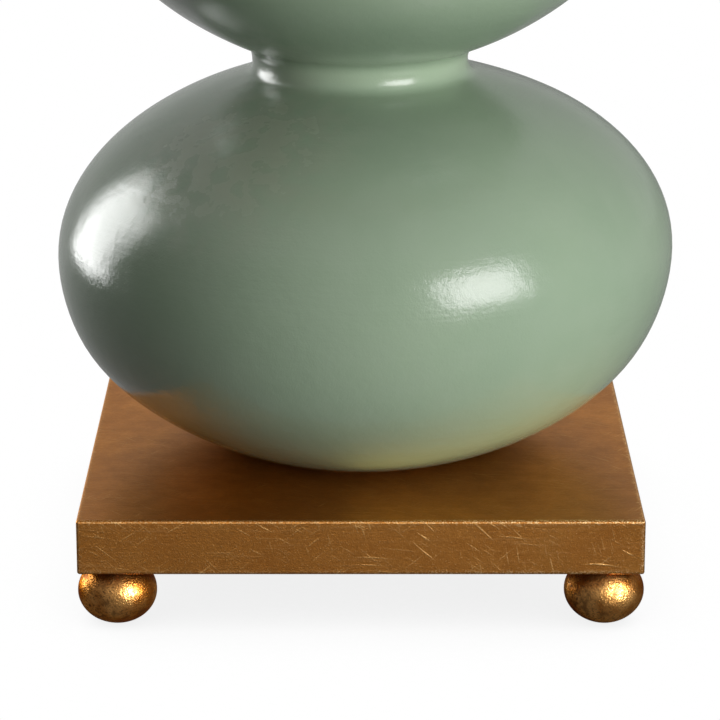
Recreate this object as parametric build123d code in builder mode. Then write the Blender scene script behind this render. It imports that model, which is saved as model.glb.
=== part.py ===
from build123d import *

import os
from math import acos, asin, atan2, cos, degrees, hypot, radians, sin, sqrt

# Table lamp: a glazed ceramic body of stacked round bulbs on a gilded square plinth with four
# ball feet, brass fittings on a threaded pipe, a wire harp and a hardback shade.
# Millimetres, +Z up. The origin is on the lamp's axis, on the surface that the feet stand on.
# The front faces -Y, and the cord's inlet is in the plinth's back edge.

# ---- Driving dimensions -----------------------------------------------------------------

# Clearances
running_clearance = 0.05  # round pieces in their holes, radial
loose_clearance = 0.3  # pieces that slide or lift past each other

# Ball feet and their studs
foot_radius = 14.5
foot_half_height = 12.2  # upright half axis of the flattened ball
foot_flat_depth = 0.4  # worn flat underneath
foot_seat_depth = 2.0  # ball cut flat where the plinth sits on it
foot_inset = 13.5  # foot's axis from the plinth's sides
stud_radius = 2.5
stud_length_in_foot = 9.0
stud_length_in_plinth = 11.0
hole_end_gap = 0.5  # left past the end of a stud, post or spindle

# Plinth
plinth_side = 203.2
plinth_thickness = 20.5
plinth_edge_radius = 1.0
pocket_radius = 44.0  # recess underneath for the nut
felt_rim = 6.0  # felt glued on this much of the plinth round the recess
felt_thickness = 1.5

# Clamping hardware on the pipe
pipe_radius = 4.85
pipe_bore_radius = 3.2
pipe_end_projection = 1.5  # pipe past the nut
pipe_end_room = 1.5  # between the pipe's end and the felt
base_washer_radius = 19.0
base_washer_thickness = 1.6
base_nut_across_flats = 14.3
base_nut_thickness = 6.3
pipe_hole_clearance = 0.4

# Cord inlet
bushing_bore_radius = 3.6
bushing_wall = 1.7
bushing_body_length = 16.0
bushing_flange_width = 2.0
bushing_flange_thickness = 1.8

# Ceramic body: each bulb is two half ellipses of revolution that share an equator
gasket_thickness = 0.6
gasket_width = 10.0
gasket_setback = 2.5  # gasket's edge inside the body's contact ring
ceramic_wall = 6.0
ceramic_floor = 8.0
ceramic_hole_radius = 9.0
contact_ring_radius = 49.5
lower_bulb_radius = 115.9
lower_bulb_below = 81.2
lower_bulb_above = 73.3
lower_neck_radius = 38.3
lower_neck_height = 9.9
middle_bulb_radius = 102.0
middle_bulb_below = 75.4
middle_bulb_above = 64.5
upper_neck_radius = 34.0
upper_neck_height = 9.0
upper_bulb_radius = 89.0
upper_bulb_below = 64.0
upper_bulb_above = 56.2
neck_cove_depth = 2.2  # hollow of a neck below the bulbs' edges that meet it
rim_radius = 26.0
rim_height = 6.0
rim_cove_depth = 3.0

# Vase cap and brass neck
cap_gasket_thickness = 0.8
cap_gasket_width = 9.0
cap_overhang = 2.5
cap_height = 7.5
cap_thickness = 1.1
cap_seat_width = 5.0
cap_crown_radius = 11.0
spacer_height = 16.0
spacer_end_radius = 9.6
spacer_waist_radius = 7.0
spacer_end_band = 2.2
neck_ring_radius = 9.6
neck_ring_thickness = 3.0

# Harp saddle
saddle_thickness = 1.6
saddle_width = 12.7
saddle_flat_half_length = 15.0
saddle_half_span = 26.6  # to the outer faces of the upright tabs
saddle_rise = 9.0  # base to the shoulders that the ferrules rest on
saddle_bend_radius = 3.0
saddle_tab_width = 4.4
saddle_tab_height = 14.0

# Harp, ferrules and stud
harp_height = 228.6  # saddle's underside to the seat of the shade
harp_wire_radius = 1.9
harp_half_width = 58.0
harp_leg_height = 38.0
harp_flare_height = 92.0
harp_flare_bend = 40.0
harp_shoulder_bend = 50.0
harp_leg_gap = 0.15
harp_boss_radius = 6.0
ferrule_length = 16.0
ferrule_wall = 0.8
ferrule_clearance = 0.25
stud_shaft_radius = 2.1
stud_head_radius = 4.2
stud_head_thickness = 1.4
stud_head_gap = 0.2
stud_flange_radius = 8.5
stud_flange_thickness = 2.0
post_radius = 3.17
post_height = 10.0
post_clearance = 0.08

# Lamp holder
hub_radius = 8.2
hub_height = 10.0
hub_thread_length = 9.0  # pipe screwed into the hub
holder_cap_rise = 10.0  # from the hub to the wide lip
holder_lip_height = 5.0
holder_sheet = 0.6
holder_radius = 17.6  # brass shell, outside
holder_shell_length = 40.0
liner_wall = 0.8
liner_gap = 0.15
core_height = 16.0
core_gap = 0.2
screw_shell_bore_radius = 13.15
screw_shell_sheet = 0.45
screw_shell_depth = 23.0
screw_shell_step_radius = 10.5  # narrow foot that the centre contact springs up in
screw_shell_step_height = 4.2
contact_hole_radius = 7.0
contact_width = 5.0
contact_length = 11.0
contact_sheet = 0.5
contact_spring_rise = 3.0
terminal_radius = 9.5
terminal_head_radius = 2.6
terminal_head_thickness = 1.6
terminal_shank_radius = 1.5
terminal_shank_length = 6.0
spindle_radius = 1.6
spindle_depth = 12.0  # inside the core
spindle_hole_radius = 3.6  # in the sheet round the spindle
knob_gap = 2.5
knob_radius = 4.8
knob_length = 14.0
knob_grip = 10.0  # length of spindle held in the knob
knob_flute_count = 10
knob_flute_radius = 0.9
set_screw_radius = 1.4
set_screw_head_radius = 2.4
set_screw_head_length = 3.0
set_screw_head_gap = 1.0

# Shade
shade_bottom_radius = 203.2
shade_top_radius = 165.1
shade_height = 279.4
shade_recess = 12.7  # shade's seat below its top edge
liner_thickness = 1.0
fabric_thickness = 0.6
trim_thickness = 0.6
trim_width = 9.0
ring_wire_radius = 1.6
ring_gap = 0.05
ring_setback = 2.4  # ring's centre from the shade's edge
spider_washer_radius = 14.0
spider_washer_thickness = 1.2
spider_arm_radius = 1.5
spider_arm_count = 3
spider_arm_root = 12.0

# Finial
finial_collar_radius = 6.5
finial_collar_height = 2.0
finial_stem_radius = 4.6
finial_stem_height = 9.0
finial_ball_radius = 9.0
finial_tip_radius = 2.6
finial_bore_room = 1.0

# ---- Places that follow from them -------------------------------------------------------

foot_centre_z = foot_half_height - foot_flat_depth
plinth_bottom = 2 * foot_half_height - foot_flat_depth - foot_seat_depth
plinth_top = plinth_bottom + plinth_thickness
foot_offset = plinth_side / 2 - foot_inset
foot_places = [(x, y) for x in (-foot_offset, foot_offset) for y in (-foot_offset, foot_offset)]

pocket_depth = (felt_thickness + pipe_end_room + pipe_end_projection
                + base_nut_thickness + base_washer_thickness)
pocket_top = plinth_bottom + pocket_depth
washer_bottom = pocket_top - base_washer_thickness
nut_bottom = washer_bottom - base_nut_thickness
pipe_bottom = nut_bottom - pipe_end_projection
thread_hole_radius = pipe_radius + running_clearance
pipe_hole_radius = pipe_radius + pipe_hole_clearance

bushing_radius = bushing_bore_radius + bushing_wall
cord_hole_radius = bushing_radius + running_clearance
cord_z = plinth_bottom + pocket_depth / 2
back_face = plinth_side / 2


def rise(radius, bulb_radius, half_axis):
    """Height of a bulb's surface above or below its equator, where it has this radius."""
    return half_axis * sqrt(1 - (radius / bulb_radius) ** 2)


def turn(radius, bulb_radius):
    """Ellipse angle from the equator to where a bulb's surface has this radius."""
    return degrees(acos(radius / bulb_radius))


body_bottom = plinth_top + gasket_thickness
lower_neck_root = lower_neck_radius + neck_cove_depth
upper_neck_root = upper_neck_radius + neck_cove_depth
rim_root = rim_radius + rim_cove_depth
lower_centre = body_bottom + rise(contact_ring_radius, lower_bulb_radius, lower_bulb_below)
lower_neck_bottom = lower_centre + rise(lower_neck_root, lower_bulb_radius, lower_bulb_above)
lower_neck_top = lower_neck_bottom + lower_neck_height
middle_centre = lower_neck_top + rise(lower_neck_root, middle_bulb_radius, middle_bulb_below)
upper_neck_bottom = middle_centre + rise(upper_neck_root, middle_bulb_radius, middle_bulb_above)
upper_neck_top = upper_neck_bottom + upper_neck_height
upper_centre = upper_neck_top + rise(upper_neck_root, upper_bulb_radius, upper_bulb_below)
rim_bottom = upper_centre + rise(rim_root, upper_bulb_radius, upper_bulb_above)
body_top = rim_bottom + rim_height

cap_bottom = body_top + cap_gasket_thickness
spacer_bottom = cap_bottom + cap_height
ring_bottom = spacer_bottom + spacer_height
saddle_bottom = ring_bottom + neck_ring_thickness
saddle_top = saddle_bottom + saddle_thickness
shoulder_z = saddle_bottom + saddle_rise
pipe_top = saddle_top + hub_thread_length

seat_z = saddle_bottom + harp_height
harp_wire_top_z = seat_z - stud_flange_thickness - harp_wire_radius
harp_boss_bottom = harp_wire_top_z - harp_wire_radius
leg_x = saddle_half_span + harp_leg_gap + harp_wire_radius
leg_bottom = shoulder_z + loose_clearance
flare_z = leg_bottom + harp_leg_height
wide_z = flare_z + harp_flare_height

holder_lip_bottom = saddle_top + hub_height + holder_cap_rise
shell_bottom = holder_lip_bottom + holder_sheet
shell_top = shell_bottom + holder_shell_length
holder_liner_radius = holder_radius - holder_sheet - liner_gap
core_radius = holder_liner_radius - liner_wall - core_gap
core_bottom = shell_bottom + liner_gap
core_top = core_bottom + core_height
screw_shell_radius = screw_shell_bore_radius + screw_shell_sheet
spindle_z = core_bottom + core_height / 2
knob_start = holder_radius + knob_gap
knob_end = knob_start + knob_length

shade_top = seat_z + spider_washer_thickness / 2 + shade_recess
shade_bottom = shade_top - shade_height
shade_slant = atan2(shade_bottom_radius - shade_top_radius, shade_height)
finial_bottom = seat_z + spider_washer_thickness


def shade_radius(z, depth=0.0):
    """Radius of the shade's outside at this height, or of the surface this deep under it."""
    share = (z - shade_bottom) / shade_height
    outside = shade_bottom_radius + share * (shade_top_radius - shade_bottom_radius)
    return outside - depth / cos(shade_slant)


def make_tube(inner_radius, outer_radius, bottom, height):
    """Adds a plain ring or tube on the lamp's axis to the part being built."""
    with BuildSketch(Plane.XY.offset(bottom)) as ring_section:
        Circle(outer_radius)
        Circle(inner_radius, mode=Mode.SUBTRACT)
    extrude(ring_section.sketch, amount=height)


def make_shade_band(outer_depth, inner_depth, bottom, top):
    """Adds a band of the shade's wall, between two depths under its outside."""
    with BuildSketch(Plane.XZ) as band_section:
        with BuildLine():
            Polyline(
                (shade_radius(bottom, inner_depth), bottom),
                (shade_radius(bottom, outer_depth), bottom),
                (shade_radius(top, outer_depth), top),
                (shade_radius(top, inner_depth), top),
                close=True,
            )
        make_face()
    revolve(band_section.sketch, axis=Axis.Z)


os.makedirs("parts", exist_ok=True)

# ---- Feet, studs and plinth -------------------------------------------------------------

for x, y in foot_places:
    upright = Plane(origin=(x, y, 0), x_dir=(1, 0, 0), z_dir=(0, -1, 0))
    with BuildPart() as foot:
        with BuildSketch(upright):
            with Locations((0, foot_centre_z)):
                Ellipse(foot_radius, foot_half_height)
            with Locations((foot_radius / 2, plinth_bottom / 2)):
                Rectangle(foot_radius, plinth_bottom, mode=Mode.INTERSECT)
        revolve(axis=Axis((x, y, 0), (0, 0, 1)))
        with Locations((x, y, plinth_bottom)):
            Hole(stud_radius + running_clearance, stud_length_in_foot + hole_end_gap)
    end = "front" if y < 0 else "back"
    side = "left" if x < 0 else "right"
    foot.part.label = f"foot_{end}_{side}"
    export_step(foot.part, f"parts/{foot.part.label}.step")

with BuildPart() as foot_studs:
    with BuildSketch(Plane.XY.offset(plinth_bottom - stud_length_in_foot)):
        with Locations(*foot_places):
            Circle(stud_radius)
    extrude(amount=stud_length_in_foot + stud_length_in_plinth)
foot_studs.part.label = "foot_studs"
export_step(foot_studs.part, "parts/foot_studs.step")

with BuildPart() as plinth:
    with BuildSketch(Plane.XY.offset(plinth_bottom)):
        Rectangle(plinth_side, plinth_side)
    extrude(amount=plinth_thickness)
    fillet(plinth.edges(), plinth_edge_radius)
    with BuildSketch(Plane.XY.offset(plinth_bottom)):
        Circle(pocket_radius + felt_rim)
    extrude(amount=felt_thickness, mode=Mode.SUBTRACT)
    with BuildSketch(Plane.XY.offset(plinth_bottom)):
        Circle(pocket_radius)
    extrude(amount=pocket_depth, mode=Mode.SUBTRACT)
    with BuildSketch(Plane.XY.offset(plinth_bottom)):
        Circle(pipe_hole_radius)
    extrude(amount=plinth_thickness, mode=Mode.SUBTRACT)
    with BuildSketch(Plane.XY.offset(plinth_bottom)):
        with Locations(*foot_places):
            Circle(stud_radius + running_clearance)
    extrude(amount=stud_length_in_plinth + hole_end_gap, mode=Mode.SUBTRACT)
    with BuildSketch(Plane.XZ.offset(-back_face)):
        with Locations((0, cord_z)):
            Circle(cord_hole_radius)
    extrude(amount=back_face - pocket_radius / 2, mode=Mode.SUBTRACT)
plinth.part.label = "plinth"
export_step(plinth.part, "parts/plinth.step")

with BuildPart() as base_felt:
    with BuildSketch(Plane.XY.offset(plinth_bottom)):
        Circle(pocket_radius + felt_rim - running_clearance)
    extrude(amount=felt_thickness)
base_felt.part.label = "base_felt"
export_step(base_felt.part, "parts/base_felt.step")

with BuildPart() as cord_bushing:
    with BuildSketch(Plane.XZ.offset(-back_face)):
        with Locations((0, cord_z)):
            Circle(bushing_radius)
    extrude(amount=bushing_body_length)
    with BuildSketch(Plane.XZ.offset(-back_face)):
        with Locations((0, cord_z)):
            Circle(bushing_radius + bushing_flange_width)
    extrude(amount=-bushing_flange_thickness)
    rim = cord_bushing.faces().sort_by(Axis.Y)[-1].outer_wire().edges()
    fillet(rim, bushing_flange_thickness / 2)
    with BuildSketch(Plane.XZ.offset(-back_face - bushing_flange_thickness)):
        with Locations((0, cord_z)):
            Circle(bushing_bore_radius)
    extrude(amount=bushing_body_length + bushing_flange_thickness, mode=Mode.SUBTRACT)
cord_bushing.part.label = "cord_bushing"
export_step(cord_bushing.part, "parts/cord_bushing.step")

# ---- Pipe and the hardware that clamps the body -----------------------------------------

with BuildPart() as lamp_pipe:
    make_tube(pipe_bore_radius, pipe_radius, pipe_bottom, pipe_top - pipe_bottom)
lamp_pipe.part.label = "lamp_pipe"
export_step(lamp_pipe.part, "parts/lamp_pipe.step")

with BuildPart() as base_washer:
    make_tube(thread_hole_radius, base_washer_radius, washer_bottom, base_washer_thickness)
base_washer.part.label = "base_washer"
export_step(base_washer.part, "parts/base_washer.step")

with BuildPart() as base_nut:
    with BuildSketch(Plane.XY.offset(nut_bottom)):
        RegularPolygon(base_nut_across_flats / 2, 6, major_radius=False)
        Circle(thread_hole_radius, mode=Mode.SUBTRACT)
    extrude(amount=base_nut_thickness)
base_nut.part.label = "base_nut"
export_step(base_nut.part, "parts/base_nut.step")

gasket_radius = contact_ring_radius - gasket_setback
with BuildPart() as seat_gasket:
    make_tube(gasket_radius - gasket_width, gasket_radius, plinth_top, gasket_thickness)
seat_gasket.part.label = "seat_gasket"
export_step(seat_gasket.part, "parts/seat_gasket.step")

# ---- Ceramic body -----------------------------------------------------------------------

with BuildPart() as gourd_body:
    with BuildSketch(Plane.XZ):
        with BuildLine():
            foot_turn = degrees(asin((lower_centre - body_bottom) / lower_bulb_below))
            lower_root_turn = turn(lower_neck_root, lower_bulb_radius)
            middle_foot_turn = turn(lower_neck_root, middle_bulb_radius)
            middle_root_turn = turn(upper_neck_root, middle_bulb_radius)
            upper_foot_turn = turn(upper_neck_root, upper_bulb_radius)
            rim_root_turn = turn(rim_root, upper_bulb_radius)
            lower_belly = EllipticalCenterArc(
                (0, lower_centre), lower_bulb_radius, lower_bulb_below,
                -foot_turn, arc_size=foot_turn)
            lower_shoulder = EllipticalCenterArc(
                (0, lower_centre), lower_bulb_radius, lower_bulb_above,
                0, arc_size=lower_root_turn)
            middle_belly = EllipticalCenterArc(
                (0, middle_centre), middle_bulb_radius, middle_bulb_below,
                -middle_foot_turn, arc_size=middle_foot_turn)
            middle_shoulder = EllipticalCenterArc(
                (0, middle_centre), middle_bulb_radius, middle_bulb_above,
                0, arc_size=middle_root_turn)
            upper_belly = EllipticalCenterArc(
                (0, upper_centre), upper_bulb_radius, upper_bulb_below,
                -upper_foot_turn, arc_size=upper_foot_turn)
            upper_shoulder = EllipticalCenterArc(
                (0, upper_centre), upper_bulb_radius, upper_bulb_above,
                0, arc_size=rim_root_turn)
            ThreePointArc(
                lower_shoulder @ 1,
                (lower_neck_radius, (lower_neck_bottom + lower_neck_top) / 2),
                middle_belly @ 0)
            ThreePointArc(
                middle_shoulder @ 1,
                (upper_neck_radius, (upper_neck_bottom + upper_neck_top) / 2),
                upper_belly @ 0)
            rim_cove = SagittaArc(
                upper_shoulder @ 1, (rim_radius, rim_bottom + rim_height / 2),
                rim_cove_depth / 4)
            Polyline(rim_cove @ 1, (rim_radius, body_top), (0, body_top), (0, body_bottom),
                     lower_belly @ 0)
        make_face()
    revolve(axis=Axis.Z)
    with BuildSketch(Plane.XZ):
        with BuildLine():
            lower_inside = lower_bulb_radius - ceramic_wall
            middle_inside = middle_bulb_radius - ceramic_wall
            upper_inside = upper_bulb_radius - ceramic_wall
            lower_throat = lower_neck_radius - ceramic_wall
            upper_throat = upper_neck_radius - ceramic_wall
            floor_drop = lower_centre - body_bottom - ceramic_floor
            floor_turn = degrees(asin(floor_drop / (lower_bulb_below - ceramic_wall)))
            lower_hollow = EllipticalCenterArc(
                (0, lower_centre), lower_inside, lower_bulb_below - ceramic_wall,
                -floor_turn, arc_size=floor_turn)
            lower_roof = EllipticalCenterArc(
                (0, lower_centre), lower_inside, lower_bulb_above - ceramic_wall,
                0, arc_size=turn(lower_throat, lower_inside))
            middle_hollow = EllipticalCenterArc(
                (0, middle_centre), middle_inside, middle_bulb_below - ceramic_wall,
                -turn(lower_throat, middle_inside), arc_size=turn(lower_throat, middle_inside))
            middle_roof = EllipticalCenterArc(
                (0, middle_centre), middle_inside, middle_bulb_above - ceramic_wall,
                0, arc_size=turn(upper_throat, middle_inside))
            upper_hollow = EllipticalCenterArc(
                (0, upper_centre), upper_inside, upper_bulb_below - ceramic_wall,
                -turn(upper_throat, upper_inside), arc_size=turn(upper_throat, upper_inside))
            upper_roof = EllipticalCenterArc(
                (0, upper_centre), upper_inside, upper_bulb_above - ceramic_wall,
                0, arc_size=turn(ceramic_hole_radius, upper_inside))
            Line(lower_roof @ 1, middle_hollow @ 0)
            Line(middle_roof @ 1, upper_hollow @ 0)
            Polyline(upper_roof @ 1, (0, (upper_roof @ 1).Y),
                     (0, body_bottom + ceramic_floor), lower_hollow @ 0)
        make_face()
    revolve(axis=Axis.Z, mode=Mode.SUBTRACT)
    with BuildSketch(Plane.XY.offset(body_bottom)):
        Circle(ceramic_hole_radius)
    extrude(amount=body_top - body_bottom, mode=Mode.SUBTRACT)
gourd_body.part.label = "gourd_body"
export_step(gourd_body.part, "parts/gourd_body.step")

# ---- Vase cap, brass neck and check ring ------------------------------------------------

cap_gasket_radius = rim_radius - loose_clearance
with BuildPart() as cap_gasket:
    make_tube(cap_gasket_radius - cap_gasket_width, cap_gasket_radius, body_top,
              cap_gasket_thickness)
cap_gasket.part.label = "cap_gasket"
export_step(cap_gasket.part, "parts/cap_gasket.step")

with BuildPart() as vase_cap:
    with BuildSketch(Plane.XZ):
        with BuildLine():
            cap_edge = rim_radius + cap_overhang
            cap_seat_edge = rim_radius - cap_seat_width
            cap_top = cap_bottom + cap_height
            dome_bulge = cap_height / 6
            SagittaArc((cap_edge, cap_bottom + cap_thickness), (cap_crown_radius, cap_top),
                       -dome_bulge)
            SagittaArc((cap_seat_edge, cap_bottom), (cap_crown_radius, cap_top - cap_thickness),
                       -dome_bulge)
            Polyline((cap_crown_radius, cap_top), (thread_hole_radius, cap_top),
                     (thread_hole_radius, cap_top - cap_thickness),
                     (cap_crown_radius, cap_top - cap_thickness))
            Polyline((cap_seat_edge, cap_bottom), (cap_edge, cap_bottom),
                     (cap_edge, cap_bottom + cap_thickness))
        make_face()
    revolve(axis=Axis.Z)
vase_cap.part.label = "vase_cap"
export_step(vase_cap.part, "parts/vase_cap.step")

with BuildPart() as neck_spacer:
    with BuildSketch(Plane.XZ):
        with BuildLine():
            spacer_top = spacer_bottom + spacer_height
            ThreePointArc((spacer_end_radius, spacer_bottom + spacer_end_band),
                          (spacer_waist_radius, (spacer_bottom + spacer_top) / 2),
                          (spacer_end_radius, spacer_top - spacer_end_band))
            Polyline((spacer_end_radius, spacer_top - spacer_end_band),
                     (spacer_end_radius, spacer_top), (thread_hole_radius, spacer_top),
                     (thread_hole_radius, spacer_bottom), (spacer_end_radius, spacer_bottom),
                     (spacer_end_radius, spacer_bottom + spacer_end_band))
        make_face()
    revolve(axis=Axis.Z)
neck_spacer.part.label = "neck_spacer"
export_step(neck_spacer.part, "parts/neck_spacer.step")

with BuildPart() as neck_ring:
    make_tube(thread_hole_radius, neck_ring_radius, ring_bottom, neck_ring_thickness)
    outer_edges = neck_ring.edges().filter_by(GeomType.CIRCLE).group_by(SortBy.RADIUS)[-1]
    fillet(outer_edges, neck_ring_thickness / 3)
neck_ring.part.label = "neck_ring"
export_step(neck_ring.part, "parts/neck_ring.step")

# ---- Harp saddle ------------------------------------------------------------------------

tab_top = shoulder_z + saddle_tab_height
with BuildPart() as harp_saddle:
    with BuildSketch(Plane.XZ):
        with BuildLine():
            strip = FilletPolyline(
                (-saddle_half_span, tab_top),
                (-saddle_half_span, shoulder_z - saddle_bend_radius),
                (-saddle_flat_half_length, saddle_bottom),
                (saddle_flat_half_length, saddle_bottom),
                (saddle_half_span, shoulder_z - saddle_bend_radius),
                (saddle_half_span, tab_top),
                radius=saddle_bend_radius)
            offset(strip, amount=saddle_thickness, side=Side.LEFT)
        make_face()
    extrude(amount=saddle_width / 2, both=True)
    with BuildSketch(Plane.YZ):
        with Locations((0, (shoulder_z + tab_top) / 2)):
            Rectangle(2 * saddle_width, tab_top - shoulder_z)
            Rectangle(saddle_tab_width, tab_top - shoulder_z, mode=Mode.SUBTRACT)
    extrude(amount=saddle_half_span, both=True, mode=Mode.SUBTRACT)
    with Locations((0, 0, saddle_top)):
        Hole(thread_hole_radius, saddle_thickness)
harp_saddle.part.label = "harp_saddle"
export_step(harp_saddle.part, "parts/harp_saddle.step")

# ---- Lamp holder ------------------------------------------------------------------------

lip_outer_radius = holder_radius + loose_clearance + holder_sheet
lip_inner_radius = holder_radius + loose_clearance
hub_top = saddle_top + hub_height
lip_top = holder_lip_bottom + holder_lip_height
with BuildPart() as socket_cap:
    with BuildSketch(Plane.XZ):
        with BuildLine():
            dome_bulge = holder_cap_rise / 5
            SagittaArc((hub_radius, hub_top), (lip_outer_radius, holder_lip_bottom), dome_bulge)
            SagittaArc((hub_radius - holder_sheet, hub_top + holder_sheet),
                       (lip_inner_radius, holder_lip_bottom + holder_sheet / 2), dome_bulge)
            Polyline((hub_radius, hub_top), (hub_radius, saddle_top),
                     (thread_hole_radius, saddle_top),
                     (thread_hole_radius, hub_top + holder_sheet),
                     (hub_radius - holder_sheet, hub_top + holder_sheet))
            Polyline((lip_outer_radius, holder_lip_bottom), (lip_outer_radius, lip_top),
                     (lip_inner_radius, lip_top),
                     (lip_inner_radius, holder_lip_bottom + holder_sheet / 2))
        make_face()
    revolve(axis=Axis.Z)
    with BuildSketch(Plane.YZ):
        with Locations((0, saddle_top + hub_height / 2)):
            Circle(set_screw_radius + running_clearance)
    extrude(amount=-hub_radius, mode=Mode.SUBTRACT)
socket_cap.part.label = "socket_cap"
export_step(socket_cap.part, "parts/socket_cap.step")

with BuildPart() as socket_set_screw:
    screw_tip = thread_hole_radius
    head_start = hub_radius + set_screw_head_gap
    with BuildSketch(Plane.YZ.offset(-screw_tip)):
        with Locations((0, saddle_top + hub_height / 2)):
            Circle(set_screw_radius)
    extrude(amount=screw_tip - head_start)
    with BuildSketch(Plane.YZ.offset(-head_start)):
        with Locations((0, saddle_top + hub_height / 2)):
            Circle(set_screw_head_radius)
    extrude(amount=-set_screw_head_length)
socket_set_screw.part.label = "socket_set_screw"
export_step(socket_set_screw.part, "parts/socket_set_screw.step")

with BuildPart() as socket_shell:
    make_tube(holder_radius - holder_sheet, holder_radius, shell_bottom, holder_shell_length)
    with BuildSketch(Plane.XZ):
        with Locations((0, spindle_z)):
            Circle(spindle_hole_radius)
    extrude(amount=holder_radius, mode=Mode.SUBTRACT)
socket_shell.part.label = "socket_shell"
export_step(socket_shell.part, "parts/socket_shell.step")

with BuildPart() as socket_insulator:
    make_tube(holder_liner_radius - liner_wall, holder_liner_radius, core_bottom,
              shell_top - core_bottom)
    with BuildSketch(Plane.XZ):
        with Locations((0, spindle_z)):
            Circle(spindle_hole_radius)
    extrude(amount=holder_radius, mode=Mode.SUBTRACT)
socket_insulator.part.label = "socket_insulator"
export_step(socket_insulator.part, "parts/socket_insulator.step")

terminal_places = [(-terminal_radius, 0), (terminal_radius, 0)]
with BuildPart() as socket_core:
    with BuildSketch(Plane.XY.offset(core_bottom)):
        Circle(core_radius)
    extrude(amount=core_height)
    with BuildSketch(Plane.XY.offset(core_bottom)):
        with Locations(*terminal_places):
            Circle(terminal_shank_radius + running_clearance)
    extrude(amount=terminal_shank_length + hole_end_gap, mode=Mode.SUBTRACT)
    with BuildSketch(Plane.XZ.offset(core_radius)):
        with Locations((0, spindle_z)):
            Circle(spindle_radius + running_clearance)
    extrude(amount=-spindle_depth - hole_end_gap, mode=Mode.SUBTRACT)
socket_core.part.label = "socket_core"
export_step(socket_core.part, "parts/socket_core.step")

step_outer_radius = screw_shell_step_radius + screw_shell_sheet
thread_bottom = core_top + screw_shell_step_height
with BuildPart() as screw_shell:
    make_tube(contact_hole_radius, step_outer_radius, core_top, screw_shell_sheet)
    make_tube(screw_shell_step_radius, step_outer_radius, core_top, screw_shell_step_height)
    make_tube(screw_shell_step_radius, screw_shell_radius, thread_bottom - screw_shell_sheet,
              screw_shell_sheet)
    make_tube(screw_shell_bore_radius, screw_shell_radius, thread_bottom - screw_shell_sheet,
              screw_shell_depth - screw_shell_step_height + screw_shell_sheet)
screw_shell.part.label = "screw_shell"
export_step(screw_shell.part, "parts/screw_shell.step")

with BuildPart() as centre_contact:
    with BuildSketch(Plane.XZ):
        with BuildLine():
            Polyline(
                (-contact_length / 2, core_top), (0, core_top),
                (contact_length / 2, core_top + contact_spring_rise),
                (contact_length / 2, core_top + contact_spring_rise + contact_sheet),
                (0, core_top + contact_sheet), (-contact_length / 2, core_top + contact_sheet),
                close=True)
        make_face()
    extrude(amount=contact_width / 2, both=True)
centre_contact.part.label = "centre_contact"
export_step(centre_contact.part, "parts/centre_contact.step")

with BuildPart() as terminal_screws:
    with BuildSketch(Plane.XY.offset(core_bottom)):
        with Locations(*terminal_places):
            Circle(terminal_shank_radius)
    extrude(amount=terminal_shank_length)
    with BuildSketch(Plane.XY.offset(core_bottom)):
        with Locations(*terminal_places):
            Circle(terminal_head_radius)
    extrude(amount=-terminal_head_thickness)
terminal_screws.part.label = "terminal_screws"
export_step(terminal_screws.part, "parts/terminal_screws.step")

spindle_inner_end = core_radius - spindle_depth
spindle_outer_end = knob_start + knob_grip
with BuildPart() as switch_spindle:
    with BuildSketch(Plane.XZ.offset(spindle_inner_end)):
        with Locations((0, spindle_z)):
            Circle(spindle_radius)
    extrude(amount=spindle_outer_end - spindle_inner_end)
switch_spindle.part.label = "switch_spindle"
export_step(switch_spindle.part, "parts/switch_spindle.step")

with BuildPart() as switch_knob:
    with BuildSketch(Plane.XZ.offset(knob_start)):
        with Locations((0, spindle_z)):
            Circle(knob_radius)
            with PolarLocations(knob_radius, knob_flute_count):
                Circle(knob_flute_radius, mode=Mode.SUBTRACT)
    extrude(amount=knob_length)
    with BuildSketch(Plane.XZ.offset(knob_start)):
        with Locations((0, spindle_z)):
            Circle(spindle_radius + running_clearance)
    extrude(amount=knob_grip + hole_end_gap, mode=Mode.SUBTRACT)
switch_knob.part.label = "switch_knob"
export_step(switch_knob.part, "parts/switch_knob.step")

# ---- Harp, ferrules and stud ------------------------------------------------------------

with BuildPart() as harp:
    with BuildLine(Plane.XZ) as harp_path:
        FilletPolyline(
            (-leg_x, leg_bottom), (-leg_x, flare_z), (-harp_half_width, wide_z),
            (-harp_half_width, harp_wire_top_z), (harp_half_width, harp_wire_top_z),
            (harp_half_width, wide_z), (leg_x, flare_z), (leg_x, leg_bottom),
            radius=[harp_flare_bend, harp_flare_bend, harp_shoulder_bend,
                    harp_shoulder_bend, harp_flare_bend, harp_flare_bend])
    with BuildSketch(Plane(origin=harp_path.line @ 0, z_dir=harp_path.line % 0)):
        Circle(harp_wire_radius)
    sweep()
    with BuildSketch(Plane.XY.offset(harp_boss_bottom)):
        Circle(harp_boss_radius)
    extrude(amount=2 * harp_wire_radius)
    with Locations((0, 0, harp_boss_bottom + 2 * harp_wire_radius)):
        Hole(stud_shaft_radius + running_clearance, 2 * harp_wire_radius)
harp.part.label = "harp"
export_step(harp.part, "parts/harp.step")

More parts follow.
